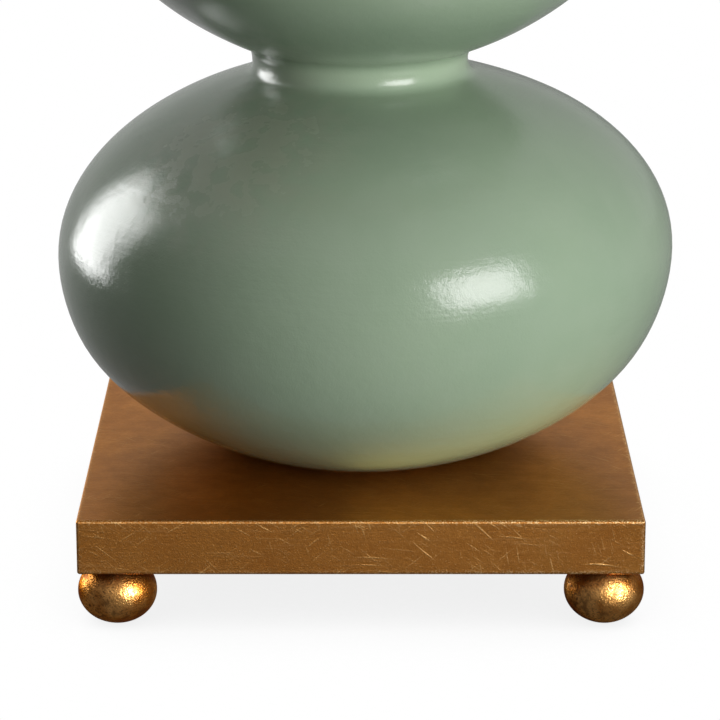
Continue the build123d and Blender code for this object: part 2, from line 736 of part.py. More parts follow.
ferrule_inner_edge = saddle_half_span - saddle_thickness - ferrule_clearance
ferrule_outer_edge = leg_x + harp_wire_radius + ferrule_clearance
ferrule_room = ferrule_outer_edge - ferrule_inner_edge
ferrule_depth = max(saddle_tab_width, 2 * harp_wire_radius) + 2 * ferrule_clearance
ferrule_x = (ferrule_inner_edge + ferrule_outer_edge) / 2
for name, x in (("ferrule_left", -ferrule_x), ("ferrule_right", ferrule_x)):
    with BuildPart() as ferrule:
        with BuildSketch(Plane.XY.offset(shoulder_z)):
            with Locations((x, 0)):
                RectangleRounded(ferrule_room + 2 * ferrule_wall,
                                 ferrule_depth + 2 * ferrule_wall, 2 * ferrule_wall)
                RectangleRounded(ferrule_room, ferrule_depth, ferrule_wall,
                                 mode=Mode.SUBTRACT)
        extrude(amount=ferrule_length)
    ferrule.part.label = name
    export_step(ferrule.part, f"parts/{name}.step")

with BuildPart() as harp_stud:
    with BuildSketch(Plane.XZ):
        with BuildLine():
            head_top = harp_boss_bottom - stud_head_gap
            head_bottom = head_top - stud_head_thickness
            flange_bottom = seat_z - stud_flange_thickness
            Polyline(
                (0, head_bottom), (stud_head_radius, head_bottom),
                (stud_head_radius, head_top), (stud_shaft_radius, head_top),
                (stud_shaft_radius, flange_bottom), (stud_flange_radius, flange_bottom),
                (stud_flange_radius, seat_z), (post_radius, seat_z),
                (post_radius, seat_z + post_height), (0, seat_z + post_height), close=True)
        make_face()
    revolve(axis=Axis.Z)
harp_stud.part.label = "harp_stud"
export_step(harp_stud.part, "parts/harp_stud.step")

# ---- Shade ------------------------------------------------------------------------------

wall_thickness = fabric_thickness + liner_thickness
wire_depth = wall_thickness + ring_wire_radius + ring_gap
top_ring_z = shade_top - ring_setback
bottom_ring_z = shade_bottom + ring_setback
top_ring_radius = shade_radius(top_ring_z, wire_depth)
bottom_ring_radius = shade_radius(bottom_ring_z, wire_depth)

with BuildPart() as shade_spider:
    make_tube(post_radius + post_clearance, spider_washer_radius, seat_z,
              spider_washer_thickness)
    arm_start_z = seat_z + spider_washer_thickness / 2
    arm_run = top_ring_radius - spider_arm_root
    arm_rise = top_ring_z - arm_start_z
    for index in range(spider_arm_count):
        heading = radians(90 + 360 * index / spider_arm_count)
        arm_start = (spider_arm_root * cos(heading), spider_arm_root * sin(heading), arm_start_z)
        arm_way = (arm_run * cos(heading), arm_run * sin(heading), arm_rise)
        with BuildSketch(Plane(origin=arm_start, z_dir=arm_way)):
            Circle(spider_arm_radius)
        extrude(amount=hypot(arm_run, arm_rise))
    with Locations((0, 0, top_ring_z)):
        Torus(top_ring_radius, ring_wire_radius)
    with BuildSketch(Plane.XY.offset(seat_z - spider_arm_radius)):
        Circle(stud_flange_radius + loose_clearance)
        Circle(post_radius + post_clearance, mode=Mode.SUBTRACT)
    extrude(amount=spider_arm_radius, mode=Mode.SUBTRACT)
shade_spider.part.label = "shade_spider"
export_step(shade_spider.part, "parts/shade_spider.step")

with BuildPart() as shade_bottom_ring:
    with Locations((0, 0, bottom_ring_z)):
        Torus(bottom_ring_radius, ring_wire_radius)
shade_bottom_ring.part.label = "shade_bottom_ring"
export_step(shade_bottom_ring.part, "parts/shade_bottom_ring.step")

with BuildPart() as shade_liner:
    make_shade_band(fabric_thickness, wall_thickness, shade_bottom, shade_top)
shade_liner.part.label = "shade_liner"
export_step(shade_liner.part, "parts/shade_liner.step")

with BuildPart() as shade_fabric:
    make_shade_band(0, fabric_thickness, shade_bottom, shade_top)
shade_fabric.part.label = "shade_fabric"
export_step(shade_fabric.part, "parts/shade_fabric.step")

with BuildPart() as shade_top_trim:
    make_shade_band(-trim_thickness, 0, shade_top - trim_width, shade_top)
    make_shade_band(-trim_thickness, wall_thickness, shade_top, shade_top + trim_thickness)
shade_top_trim.part.label = "shade_top_trim"
export_step(shade_top_trim.part, "parts/shade_top_trim.step")

with BuildPart() as shade_bottom_trim:
    make_shade_band(-trim_thickness, 0, shade_bottom, shade_bottom + trim_width)
    make_shade_band(-trim_thickness, wall_thickness, shade_bottom - trim_thickness,
                    shade_bottom)
shade_bottom_trim.part.label = "shade_bottom_trim"
export_step(shade_bottom_trim.part, "parts/shade_bottom_trim.step")

# ---- Finial -----------------------------------------------------------------------------

finial_bore_depth = post_height - spider_washer_thickness + finial_bore_room
ball_centre = finial_bottom + finial_collar_height + finial_stem_height + finial_ball_radius / 2
with BuildPart() as finial:
    with BuildSketch(Plane.XY.offset(finial_bottom)):
        Circle(finial_collar_radius)
    extrude(amount=finial_collar_height)
    fillet(finial.edges().group_by(Axis.Z)[-1], finial_collar_height / 3)
    with BuildSketch(Plane.XY.offset(finial_bottom)):
        Circle(finial_stem_radius)
    extrude(amount=ball_centre - finial_bottom)
    with Locations((0, 0, ball_centre)):
        Sphere(finial_ball_radius)
    with Locations((0, 0, ball_centre + finial_ball_radius)):
        Sphere(finial_tip_radius)
    with BuildSketch(Plane.XY.offset(finial_bottom)):
        Circle(post_radius + post_clearance)
    extrude(amount=finial_bore_depth, mode=Mode.SUBTRACT)
finial.part.label = "finial"
export_step(finial.part, "parts/finial.step")
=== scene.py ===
from math import acos, asin, atan2, cos, degrees, exp, hypot, pi, radians, sin, sqrt, tan, tau

import bmesh
import bpy
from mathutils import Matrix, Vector


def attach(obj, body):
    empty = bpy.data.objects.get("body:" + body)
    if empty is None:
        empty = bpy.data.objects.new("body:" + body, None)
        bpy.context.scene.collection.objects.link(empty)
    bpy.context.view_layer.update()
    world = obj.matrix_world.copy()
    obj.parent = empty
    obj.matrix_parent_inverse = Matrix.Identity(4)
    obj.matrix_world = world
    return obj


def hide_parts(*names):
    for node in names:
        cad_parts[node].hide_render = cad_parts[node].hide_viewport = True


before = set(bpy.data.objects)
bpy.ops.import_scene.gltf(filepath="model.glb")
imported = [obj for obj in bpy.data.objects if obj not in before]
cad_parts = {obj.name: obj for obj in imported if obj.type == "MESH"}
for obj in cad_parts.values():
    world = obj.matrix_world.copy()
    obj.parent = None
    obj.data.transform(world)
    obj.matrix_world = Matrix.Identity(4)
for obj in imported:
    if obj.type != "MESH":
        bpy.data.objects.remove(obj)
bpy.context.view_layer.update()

# Dressed lamp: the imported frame's pieces with their real surfaces, on a pale studio floor.
# Outlines are (radius, height) in millimetres, as in the part's source, and become metres in
# turned().

MM = 0.001

# ---- Sizes shared with the part's source ------------------------------------------------

FOOT_RADIUS, FOOT_HALF_HEIGHT, FOOT_FLAT, FOOT_SEAT = 14.5, 12.2, 0.4, 2.0
PLINTH_SIDE, PLINTH_THICKNESS = 203.2, 20.5
PLINTH_BOTTOM = 2 * FOOT_HALF_HEIGHT - FOOT_FLAT - FOOT_SEAT
PLINTH_TOP = PLINTH_BOTTOM + PLINTH_THICKNESS
FOOT_OFFSET = PLINTH_SIDE / 2 - 13.5

LOWER_BULB = (115.9, 81.2, 73.3)  # radius, half height below and above the equator
MIDDLE_BULB = (102.0, 75.4, 64.5)
UPPER_BULB = (89.0, 64.0, 56.2)
LOWER_NECK = (38.3, 9.9)  # radius, height
UPPER_NECK = (34.0, 9.0)
NECK_COVE = 2.2
RIM_RADIUS, RIM_HEIGHT, RIM_COVE = 26.0, 6.0, 3.0
CONTACT_RING = 49.5
CERAMIC_WALL, CERAMIC_HOLE = 6.0, 9.0

PIPE_HOLE = 4.9  # bore of everything that the pipe goes through
CAP_GASKET, CAP_OVERHANG, CAP_HEIGHT, CAP_THICKNESS = 0.8, 2.5, 7.5, 1.1
CAP_SEAT_WIDTH, CAP_CROWN_RADIUS = 5.0, 11.0
SPACER_HEIGHT, SPACER_END_RADIUS, SPACER_END_BAND = 16.0, 9.6, 2.2
NECK_RING_RADIUS, NECK_RING_THICKNESS = 9.6, 3.0
SADDLE_THICKNESS, HARP_HEIGHT = 1.6, 228.6
HUB_RADIUS, HUB_HEIGHT, HOLDER_CAP_RISE, HOLDER_LIP_HEIGHT = 8.2, 10.0, 10.0, 5.0
HOLDER_RADIUS, HOLDER_SHEET, HOLDER_LENGTH, HOLDER_GAP = 17.6, 0.6, 40.0, 0.15
LOOSE_GAP = 0.3
CORE_HEIGHT = 16.0
SCREW_BORE, SCREW_SHEET, SCREW_DEPTH, SCREW_PITCH = 13.15, 0.45, 23.0, 3.63
SCREW_FOOT_RADIUS, SCREW_FOOT_HEIGHT, CONTACT_HOLE = 10.5, 4.2, 7.0
SPINDLE_HOLE, KNOB_GAP, KNOB_RADIUS, KNOB_LENGTH, KNOB_FLUTES = 3.6, 2.5, 4.8, 14.0, 10
STUD_SHAFT, STUD_HEAD_RADIUS, STUD_HEAD_THICKNESS, STUD_HEAD_GAP = 2.1, 4.2, 1.4, 0.2
STUD_FLANGE_RADIUS, STUD_FLANGE_THICKNESS, HARP_WIRE_RADIUS = 8.5, 2.0, 1.9
SADDLE_HALF_SPAN, SADDLE_RISE = 26.6, 9.0
HARP_LEG_GAP, HARP_LEG_HEIGHT, HARP_FLARE_HEIGHT, HARP_HALF_WIDTH = 0.15, 38.0, 92.0, 58.0
HARP_FLARE_BEND, HARP_SIDE_BEND, HARP_SHOULDER_BEND, HARP_BOSS_RADIUS = 40.0, 110.0, 50.0, 6.0
POST_RADIUS, POST_HEIGHT, POST_GAP, POST_PITCH = 3.17, 10.0, 0.08, 0.94
SPIDER_WASHER, SHADE_RECESS = 1.2, 12.7
FINIAL_COLLAR, FINIAL_STEM, FINIAL_BALL, FINIAL_TIP = 6.5, 4.6, 9.0, 2.6
FINIAL_COLLAR_HEIGHT, FINIAL_STEM_HEIGHT, FINIAL_BORE_ROOM = 2.0, 9.0, 1.0
SHADE_BOTTOM_RADIUS, SHADE_TOP_RADIUS, SHADE_HEIGHT = 203.2, 165.1, 279.4
SHADE_MEAN_RADIUS = 184.0
FABRIC, LINING, TAPE, TAPE_WIDTH = 0.6, 1.0, 0.6, 9.0

# Fine forms that only the dressed lamp has

FOOT_LUMP = 0.10
GLAZE_ROLL = 1.9  # how far thick glaze rounds a corner
KNURL_WAVES, KNURL_DEPTH = 30, 0.3
ROLLED_THREAD_DEPTH, FLUTE_DEPTH, POST_THREAD_DEPTH = 0.75, 0.75, 0.32
SEAM_HALF, SEAM_STEP, SEAM_RISE = 6.5, 0.5, 0.55  # the shade cloth's glued lap
TAPE_PUCKER, TAPE_WANDER = 0.10, 0.35


def height_on(radius, bulb_radius, half_height):
    """Height of a bulb's surface above its equator, where it has this radius."""
    return half_height * sqrt(1 - (radius / bulb_radius) ** 2)


BODY_BOTTOM = PLINTH_TOP + 0.6
LOWER_CENTRE = BODY_BOTTOM + height_on(CONTACT_RING, LOWER_BULB[0], LOWER_BULB[1])
LOWER_NECK_ROOT = LOWER_NECK[0] + NECK_COVE
LOWER_NECK_BOTTOM = LOWER_CENTRE + height_on(LOWER_NECK_ROOT, LOWER_BULB[0], LOWER_BULB[2])
LOWER_NECK_TOP = LOWER_NECK_BOTTOM + LOWER_NECK[1]
MIDDLE_CENTRE = LOWER_NECK_TOP + height_on(LOWER_NECK_ROOT, MIDDLE_BULB[0], MIDDLE_BULB[1])
UPPER_NECK_ROOT = UPPER_NECK[0] + NECK_COVE
UPPER_NECK_BOTTOM = MIDDLE_CENTRE + height_on(UPPER_NECK_ROOT, MIDDLE_BULB[0], MIDDLE_BULB[2])
UPPER_NECK_TOP = UPPER_NECK_BOTTOM + UPPER_NECK[1]
UPPER_CENTRE = UPPER_NECK_TOP + height_on(UPPER_NECK_ROOT, UPPER_BULB[0], UPPER_BULB[1])
RIM_ROOT = RIM_RADIUS + RIM_COVE
RIM_BOTTOM = UPPER_CENTRE + height_on(RIM_ROOT, UPPER_BULB[0], UPPER_BULB[2])
BODY_TOP = RIM_BOTTOM + RIM_HEIGHT
LOWER_WAIST = (LOWER_NECK_BOTTOM + LOWER_NECK_TOP) / 2
UPPER_WAIST = (UPPER_NECK_BOTTOM + UPPER_NECK_TOP) / 2

CAP_BOTTOM = BODY_TOP + CAP_GASKET
SPACER_BOTTOM = CAP_BOTTOM + CAP_HEIGHT
NECK_RING_BOTTOM = SPACER_BOTTOM + SPACER_HEIGHT
SADDLE_BOTTOM = NECK_RING_BOTTOM + NECK_RING_THICKNESS
SADDLE_TOP = SADDLE_BOTTOM + SADDLE_THICKNESS
LIP_BOTTOM = SADDLE_TOP + HUB_HEIGHT + HOLDER_CAP_RISE
SHELL_BOTTOM = LIP_BOTTOM + HOLDER_SHEET
CORE_TOP = SHELL_BOTTOM + HOLDER_GAP + CORE_HEIGHT
SPINDLE_HEIGHT = CORE_TOP - CORE_HEIGHT / 2
SEAT_HEIGHT = SADDLE_BOTTOM + HARP_HEIGHT
FINIAL_BOTTOM = SEAT_HEIGHT + SPIDER_WASHER
SHADE_TOP = SEAT_HEIGHT + SPIDER_WASHER / 2 + SHADE_RECESS
SHADE_BOTTOM = SHADE_TOP - SHADE_HEIGHT


def shade_radius(height, depth=0.0):
    """Radius of the shade's outside at a height, or of the surface this deep under it."""
    share = (height - SHADE_BOTTOM) / SHADE_HEIGHT
    slant = atan2(SHADE_BOTTOM_RADIUS - SHADE_TOP_RADIUS, SHADE_HEIGHT)
    outside = SHADE_BOTTOM_RADIUS + share * (SHADE_TOP_RADIUS - SHADE_BOTTOM_RADIUS)
    return outside - depth / cos(slant)


# ---- Shapes -----------------------------------------------------------------------------


def arc(centre, half_width, half_height, start, end, steps):
    """Points of an ellipse's arc between two angles in degrees."""
    turns = [radians(start + (end - start) * i / steps) for i in range(steps + 1)]
    return [(centre[0] + half_width * cos(t), centre[1] + half_height * sin(t)) for t in turns]


def cove(start, waist_radius, end, steps):
    """Points of a hollow between two points, narrowest half way up."""
    points = []
    for i in range(steps + 1):
        share = i / steps
        hollow = sin(pi * share) ** 0.8
        radius = start[0] + (end[0] - start[0]) * share
        points.append((radius + (waist_radius - radius) * hollow,
                       start[1] + (end[1] - start[1]) * share))
    return points


def bowed(start, end, bulge, steps=10):
    """Points between two, swelling to the right of the way by bulge half way."""
    run = Vector((end[0] - start[0], end[1] - start[1]))
    out = Vector((run.y, -run.x)).normalized()
    points = []
    for i in range(steps + 1):
        share = i / steps
        point = Vector(start) + run * share + out * bulge * 4 * share * (1 - share)
        points.append((point.x, point.y))
    return points


def softened(points, radius, steps=3, closed=True):
    """The outline with its corners rounded, as far as its sides have room."""
    result = []
    count = len(points)
    for i, here in enumerate(points):
        if not closed and i in (0, count - 1):
            result.append(here)
            continue
        before, after = points[i - 1], points[(i + 1) % count]
        into = Vector((here[0] - before[0], here[1] - before[1]))
        out = Vector((after[0] - here[0], after[1] - here[1]))
        if into.length < 1e-6 or out.length < 1e-6 or into.angle(out) < radians(12):
            result.append(here)
            continue
        reach = min(radius, into.length * 0.45, out.length * 0.45)
        corner = Vector(here)
        start = corner - into.normalized() * reach
        end = corner + out.normalized() * reach
        for k in range(steps + 1):
            t = k / steps
            point = start * (1 - t) ** 2 + corner * 2 * t * (1 - t) + end * t * t
            result.append((point.x, point.y))
    return result


def turned(outline, steps=128, closed=True, sway=None, centre=(0.0, 0.0)):
    """Vertices and faces of an outline (radius, height) turned round an upright axis.

    sway(angle, radius, height) gives a new radius and height, for what isn't quite round."""
    vertices, rows = [], []
    for radius, height in outline:
        if radius < 1e-4:
            rows.append([len(vertices)] * steps)
            vertices.append((centre[0] * MM, centre[1] * MM, height * MM))
            continue
        rows.append(list(range(len(vertices), len(vertices) + steps)))
        for j in range(steps):
            angle = tau * j / steps
            r, z = sway(angle, radius, height) if sway else (radius, height)
            vertices.append(((centre[0] + r * cos(angle)) * MM,
                             (centre[1] + r * sin(angle)) * MM, z * MM))
    faces = []
    pairs = list(zip(rows, rows[1:] + rows[:1])) if closed else list(zip(rows, rows[1:]))
    for low, high in pairs:
        for j in range(steps):
            k = (j + 1) % steps
            face = [low[j], low[k], high[k], high[j]]
            face = [v for i, v in enumerate(face) if v not in face[:i]]
            if len(face) > 2:
                faces.append(face)
    return vertices, faces


def new_object(name, shape):
    """An object of vertices and faces, placed in the scene."""
    mesh = bpy.data.meshes.new(name)
    mesh.from_pydata(shape[0], [], shape[1])
    made = bpy.data.objects.new(name, mesh)
    bpy.context.scene.collection.objects.link(made)
    return made


def piece(name, shape, body, material, stands_for, sharp_angle=38):
    """Makes a piece with smooth faces and crisp edges, and hangs it on its body."""
    made = new_object(name, shape)
    work = bmesh.new()
    work.from_mesh(made.data)
    bmesh.ops.recalc_face_normals(work, faces=work.faces)
    for face in work.faces:
        face.smooth = True
    for edge in work.edges:
        if len(edge.link_faces) == 2 and edge.calc_face_angle(0) > radians(sharp_angle):
            edge.smooth = False
    work.to_mesh(made.data)
    work.free()
    made.data.materials.append(material)
    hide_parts(stands_for)
    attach(made, body)
    return made


def cut_away(target, cutter):
    """Cuts one object out of another, and leaves the result as plain mesh."""
    modifier = target.modifiers.new("cut", "BOOLEAN")
    modifier.object = cutter
    modifier.solver = "EXACT"
    bpy.context.view_layer.update()
    graph = bpy.context.evaluated_depsgraph_get()
    result = bpy.data.meshes.new_from_object(target.evaluated_get(graph))
    target.modifiers.remove(modifier)
    target.data = result
    bpy.data.objects.remove(cutter)


# ---- Node helpers -----------------------------------------------------------------------


def fill(tree, socket, value):
    """Links a result to an input, or sets the input's own value."""
    if isinstance(value, bpy.types.NodeSocket):
        tree.links.new(value, socket)
    elif socket.type == "RGBA" and len(value) == 3:
        socket.default_value = (*value, 1.0)
    else:
        socket.default_value = value


def node(tree, kind, inputs=None, **settings):
    """Adds a node, sets its properties, and fills its inputs."""
    made = tree.nodes.new(kind)
    for key, value in settings.items():
        setattr(made, key, value)
    for key, value in (inputs or {}).items():
        fill(tree, made.inputs[key], value)
    return made


def calc(tree, operation, *values):
    """A Math node's result."""
    return node(tree, "ShaderNodeMath", dict(enumerate(values)), operation=operation).outputs[0]


def times(tree, first, second):
    return calc(tree, "MULTIPLY", first, second)


def plus(tree, first, second):
    return calc(tree, "ADD", first, second)


def minus(tree, first, second):
    return calc(tree, "SUBTRACT", first, second)


def fade(tree, value, start, end, low=0.0, high=1.0):
    """A smooth step from low to high while value goes from start to end."""
    made = node(tree, "ShaderNodeMapRange",
                {"Value": value, "From Min": start, "From Max": end, "To Min": low,
                 "To Max": high}, interpolation_type="SMOOTHSTEP")
    return made.outputs["Result"]


def noise(tree, vector, scale, detail=2.0, roughness=0.5):
    """A Noise Texture's value."""
    made = node(tree, "ShaderNodeTexNoise",
                {"Vector": vector, "Scale": scale, "Detail": detail, "Roughness": roughness})
    return made.outputs["Fac"]


def split(tree, vector):
    """A vector's X, Y and Z."""
    return node(tree, "ShaderNodeSeparateXYZ", {"Vector": vector}).outputs


def join(tree, **parts):
    """A vector of X, Y and Z."""
    return node(tree, "ShaderNodeCombineXYZ", parts).outputs[0]


# ---- Effects that several materials share -----------------------------------------------


def effect(name, *results, **inputs):
    """Makes the function below it into a shader node group, which it replaces.

    The group takes the place on the surface and the named numbers, and puts out results."""
    def make(build):
        tree = bpy.data.node_groups.new(name, "ShaderNodeTree")
        tree.interface.new_socket("Place", in_out="INPUT", socket_type="NodeSocketVector")
        for label, default in inputs.items():
            socket = tree.interface.new_socket(label.replace("_", " "), in_out="INPUT",
                                               socket_type="NodeSocketFloat")
            socket.default_value = default
        for label in results:
            tree.interface.new_socket(label, in_out="OUTPUT", socket_type="NodeSocketFloat")
        values = build(tree, tree.nodes.new("NodeGroupInput").outputs)
        leave = tree.nodes.new("NodeGroupOutput")
        for label, value in zip(results, values):
            tree.links.new(value, leave.inputs[label])
        return tree
    return make


@effect("Cloudy Tone", "Mask", Scale=20.0, Level=0.5, Softness=0.3)
def cloudy_tone(tree, given):
    """Soft clouds that cover more of the surface as the level goes down."""
    value = noise(tree, given["Place"], given["Scale"], 3.0, 0.55)
    half = times(tree, given["Softness"], 0.5)
    return [fade(tree, value, minus(tree, given["Level"], half),
                 plus(tree, given["Level"], half))]


@effect("Fine Grain", "Height", Scale=900.0)
def fine_grain(tree, given):
    """A plain fine grain, as of cast, sanded or moulded surfaces."""
    return [noise(tree, given["Place"], given["Scale"], 2.0, 0.6)]


@effect("Pin Specks", "Mask", Per_metre=45.0, Size=0.02, Share=0.4)
def pin_specks(tree, given):
    """Dots of different sizes, in the given share of the cells."""
    cells = node(tree, "ShaderNodeTexVoronoi",
                 {"Vector": given["Place"], "Scale": given["Per metre"]}).outputs
    chosen = node(tree, "ShaderNodeSeparateColor", {"Color": cells["Color"]}).outputs
    kept = calc(tree, "LESS_THAN", chosen["Red"], given["Share"])
    size = times(tree, given["Size"], plus(tree, 0.5, chosen["Green"]))
    dot = fade(tree, cells["Distance"], size, times(tree, size, 0.5))
    return [times(tree, dot, kept)]


@effect("Ring Band", "Mask", Height=0.1, Width=0.01)
def ring_band(tree, given):
    """A soft band round the piece at a height."""
    away = calc(tree, "ABSOLUTE", minus(tree, split(tree, given["Place"])["Z"],
                                        given["Height"]))
    return [fade(tree, away, given["Width"], 0.0)]


@effect("Turning Lines", "Height", Scale=2500.0)
def turning_lines(tree, given):
    """Fine rings round the upright axis, as a lathe or a wheel leaves them."""
    spot = split(tree, given["Place"])
    radius = calc(tree, "SQRT", plus(tree, times(tree, spot["X"], spot["X"]),
                                     times(tree, spot["Y"], spot["Y"])))
    return [noise(tree, join(tree, X=radius, Z=spot["Z"]), given["Scale"], 3.0, 0.7)]


# For each set of scratches: slant in radians, shift of its cells, and how much they are drawn out
SCRATCH_SETS = ((0.72, 0.0, 0.05), (0.55, 3.1, 0.09), (0.08, 7.7, 0.035), (1.35, 5.3, 0.08),
                (-0.65, 9.1, 0.07))
SCRATCH_WANDER = (0.004, 0.004, 0)  # metres that a scratch bends aside


@effect("Short Scratches", "Mask", Per_metre=260.0, Width=0.06, Share=0.5)
def short_scratches(tree, given):
    """Thin bent lines in several directions, from narrow cells."""
    spot = split(tree, given["Place"])
    flat = join(tree, X=plus(tree, spot["X"], times(tree, spot["Y"], 0.6)),
                Y=plus(tree, spot["Z"], spot["Y"]))
    bend = node(tree, "ShaderNodeTexNoise", {"Vector": flat, "Scale": 40.0, "Detail": 1.0})
    bent = node(tree, "ShaderNodeVectorMath", {0: bend.outputs["Color"], 1: SCRATCH_WANDER},
                operation="MULTIPLY").outputs[0]
    flat = node(tree, "ShaderNodeVectorMath", {0: flat, 1: bent}, operation="ADD").outputs[0]
    found = None
    for slant, shift, reach in SCRATCH_SETS:
        spun = node(tree, "ShaderNodeVectorRotate",
                    {"Vector": flat, "Axis": (0.0, 0.0, 1.0), "Angle": slant},
                    rotation_type="AXIS_ANGLE").outputs[0]
        laid = node(tree, "ShaderNodeMapping", {"Vector": spun, "Location": (shift, shift, 0),
                                                "Scale": (reach, 1.0, 1.0)}).outputs[0]
        cells = node(tree, "ShaderNodeTexVoronoi", {"Vector": laid, "Scale": given["Per metre"]},
                     voronoi_dimensions="2D").outputs
        chosen = node(tree, "ShaderNodeSeparateColor", {"Color": cells["Color"]}).outputs
        kept = fade(tree, chosen["Red"], given["Share"], 0.0)
        line = times(tree, fade(tree, cells["Distance"], given["Width"], 0.0), kept)
        found = line if found is None else calc(tree, "MAXIMUM", found, line)
    return [found]


@effect("Brushed Streaks", "Height", Scale=900.0)
def brushed_streaks(tree, given):
    """Streaks along X, as a brush lays size and leaf."""
    laid = node(tree, "ShaderNodeMapping", {"Vector": given["Place"],
                                            "Scale": (0.05, 1.0, 1.0)}).outputs[0]
    return [noise(tree, laid, given["Scale"], 4.0, 0.65)]


@effect("Slab Edges", "Mask", Half_side=0.1, Half_height=0.01, Middle_height=0.03, Width=0.0015)
def slab_edges(tree, given):
    """A square slab's edges, with a ragged limit."""
    spot = split(tree, given["Place"])
    ragged = times(tree, noise(tree, given["Place"], 260.0, 3.0, 0.7), given["Width"])
    gaps = []
    for axis, middle, half in (("X", 0.0, given["Half side"]), ("Y", 0.0, given["Half side"]),
                               ("Z", given["Middle height"], given["Half height"])):
        gaps.append(minus(tree, half, calc(tree, "ABSOLUTE", minus(tree, spot[axis], middle))))
    x, y, z = gaps
    nearest = calc(tree, "MINIMUM", calc(tree, "MINIMUM", calc(tree, "MAXIMUM", x, y),
                                         calc(tree, "MAXIMUM", y, z)),
                   calc(tree, "MAXIMUM", x, z))
    return [fade(tree, nearest, times(tree, ragged, 2.0), 0.0)]


@effect("Thread Ridges", "Height", Pitch=0.00094)
def thread_ridges(tree, given):
    """A screw thread's ridges round the upright axis."""
    spot = split(tree, given["Place"])
    angle = calc(tree, "DIVIDE", calc(tree, "ARCTAN2", spot["Y"], spot["X"]), tau)
    turns = minus(tree, calc(tree, "DIVIDE", spot["Z"], given["Pitch"]), angle)
    return [times(tree, calc(tree, "PINGPONG", turns, 0.5), 2.0)]


@effect("Linen Threads", "Height", "Tone", Threads=1400.0)
def linen_threads(tree, given):
    """Threads round and up the shade, each with its slubs, and the tone that they mix to."""
    spot = split(tree, given["Place"])
    round_shade = times(tree, calc(tree, "ARCTAN2", spot["X"], times(tree, spot["Y"], -1.0)),
                        SHADE_MEAN_RADIUS * MM)
    heights = []
    for across, along in ((round_shade, spot["Z"]), (spot["Z"], round_shade)):
        lay = join(tree, X=times(tree, across, given["Threads"]),
                   Y=times(tree, along, times(tree, given["Threads"], 0.035)))
        slub = noise(tree, lay, 1.0, 2.0, 0.65)
        beat = calc(tree, "SINE", times(tree, times(tree, across, given["Threads"]), pi))
        heights.append(plus(tree, slub, times(tree, beat, 0.12)))
    mixed = times(tree, *heights)
    return [calc(tree, "MAXIMUM", *heights), fade(tree, mixed, 0.12, 0.42)]


# ---- Materials --------------------------------------------------------------------------

# Colours are linear red, green and blue.

CELADON = (0.28, 0.38, 0.26)
CELADON_DEEP = (0.270, 0.358, 0.252)
CELADON_LIGHT = (0.294, 0.384, 0.268)
GLAZE_VEIL = (0.305, 0.38, 0.285)
# Paler tone for the neck waists: partly thin glaze, partly a painted sheen.
GLAZE_THIN_SHEEN = (0.40, 0.50, 0.355)
# Darker tone for creases and bulb undersides: pooled glaze and painted shade.
GLAZE_POOL_AND_SHADE = (0.12, 0.19, 0.12)
GLAZE_SPECK = (0.05, 0.06, 0.035)
# Lighter, greyer tone of a dull cloud in the glaze: partly a painted dull reflection.
GLAZE_DULL_REFLECTION = (0.335, 0.37, 0.275)
DULL_AND_REFLECTION_PATCH = (-0.045, -0.062, 0.167)  # middle of a duller cloud in the glaze, in metres

LEAF = (0.66, 0.27, 0.05)
LEAF_DEEP = (0.55, 0.215, 0.040)
LEAF_LIGHT = (0.70, 0.305, 0.064)
LEAF_MOTTLE = (0.32, 0.112, 0.017)
LEAF_STREAK = (0.84, 0.44, 0.15)
LEAF_GRIME = (0.20, 0.065, 0.011)
# Multiplies the plinth's top face darker and warmer: painted shade on the top.
LEAF_TOP_SHADE = (0.82, 0.66, 0.30)
# Bright rubbed gold of the scratches, also used for painted glints.
LEAF_RUBBED_AND_GLINT = (1.0, 0.66, 0.26)
# Rubbed edge colour: real wear on the edges plus a painted highlight.
LEAF_EDGE_WEAR_HIGHLIGHT = (1.0, 0.70, 0.33)

FOOT_GOLD = (0.70, 0.34, 0.09)
FOOT_DEEP = (0.52, 0.16, 0.02)
FOOT_WORN = (1.0, 0.47, 0.14)
FOOT_SPECK = (0.10, 0.036, 0.010)
FOOT_SHADE = (0.08, 0.03, 0.01)


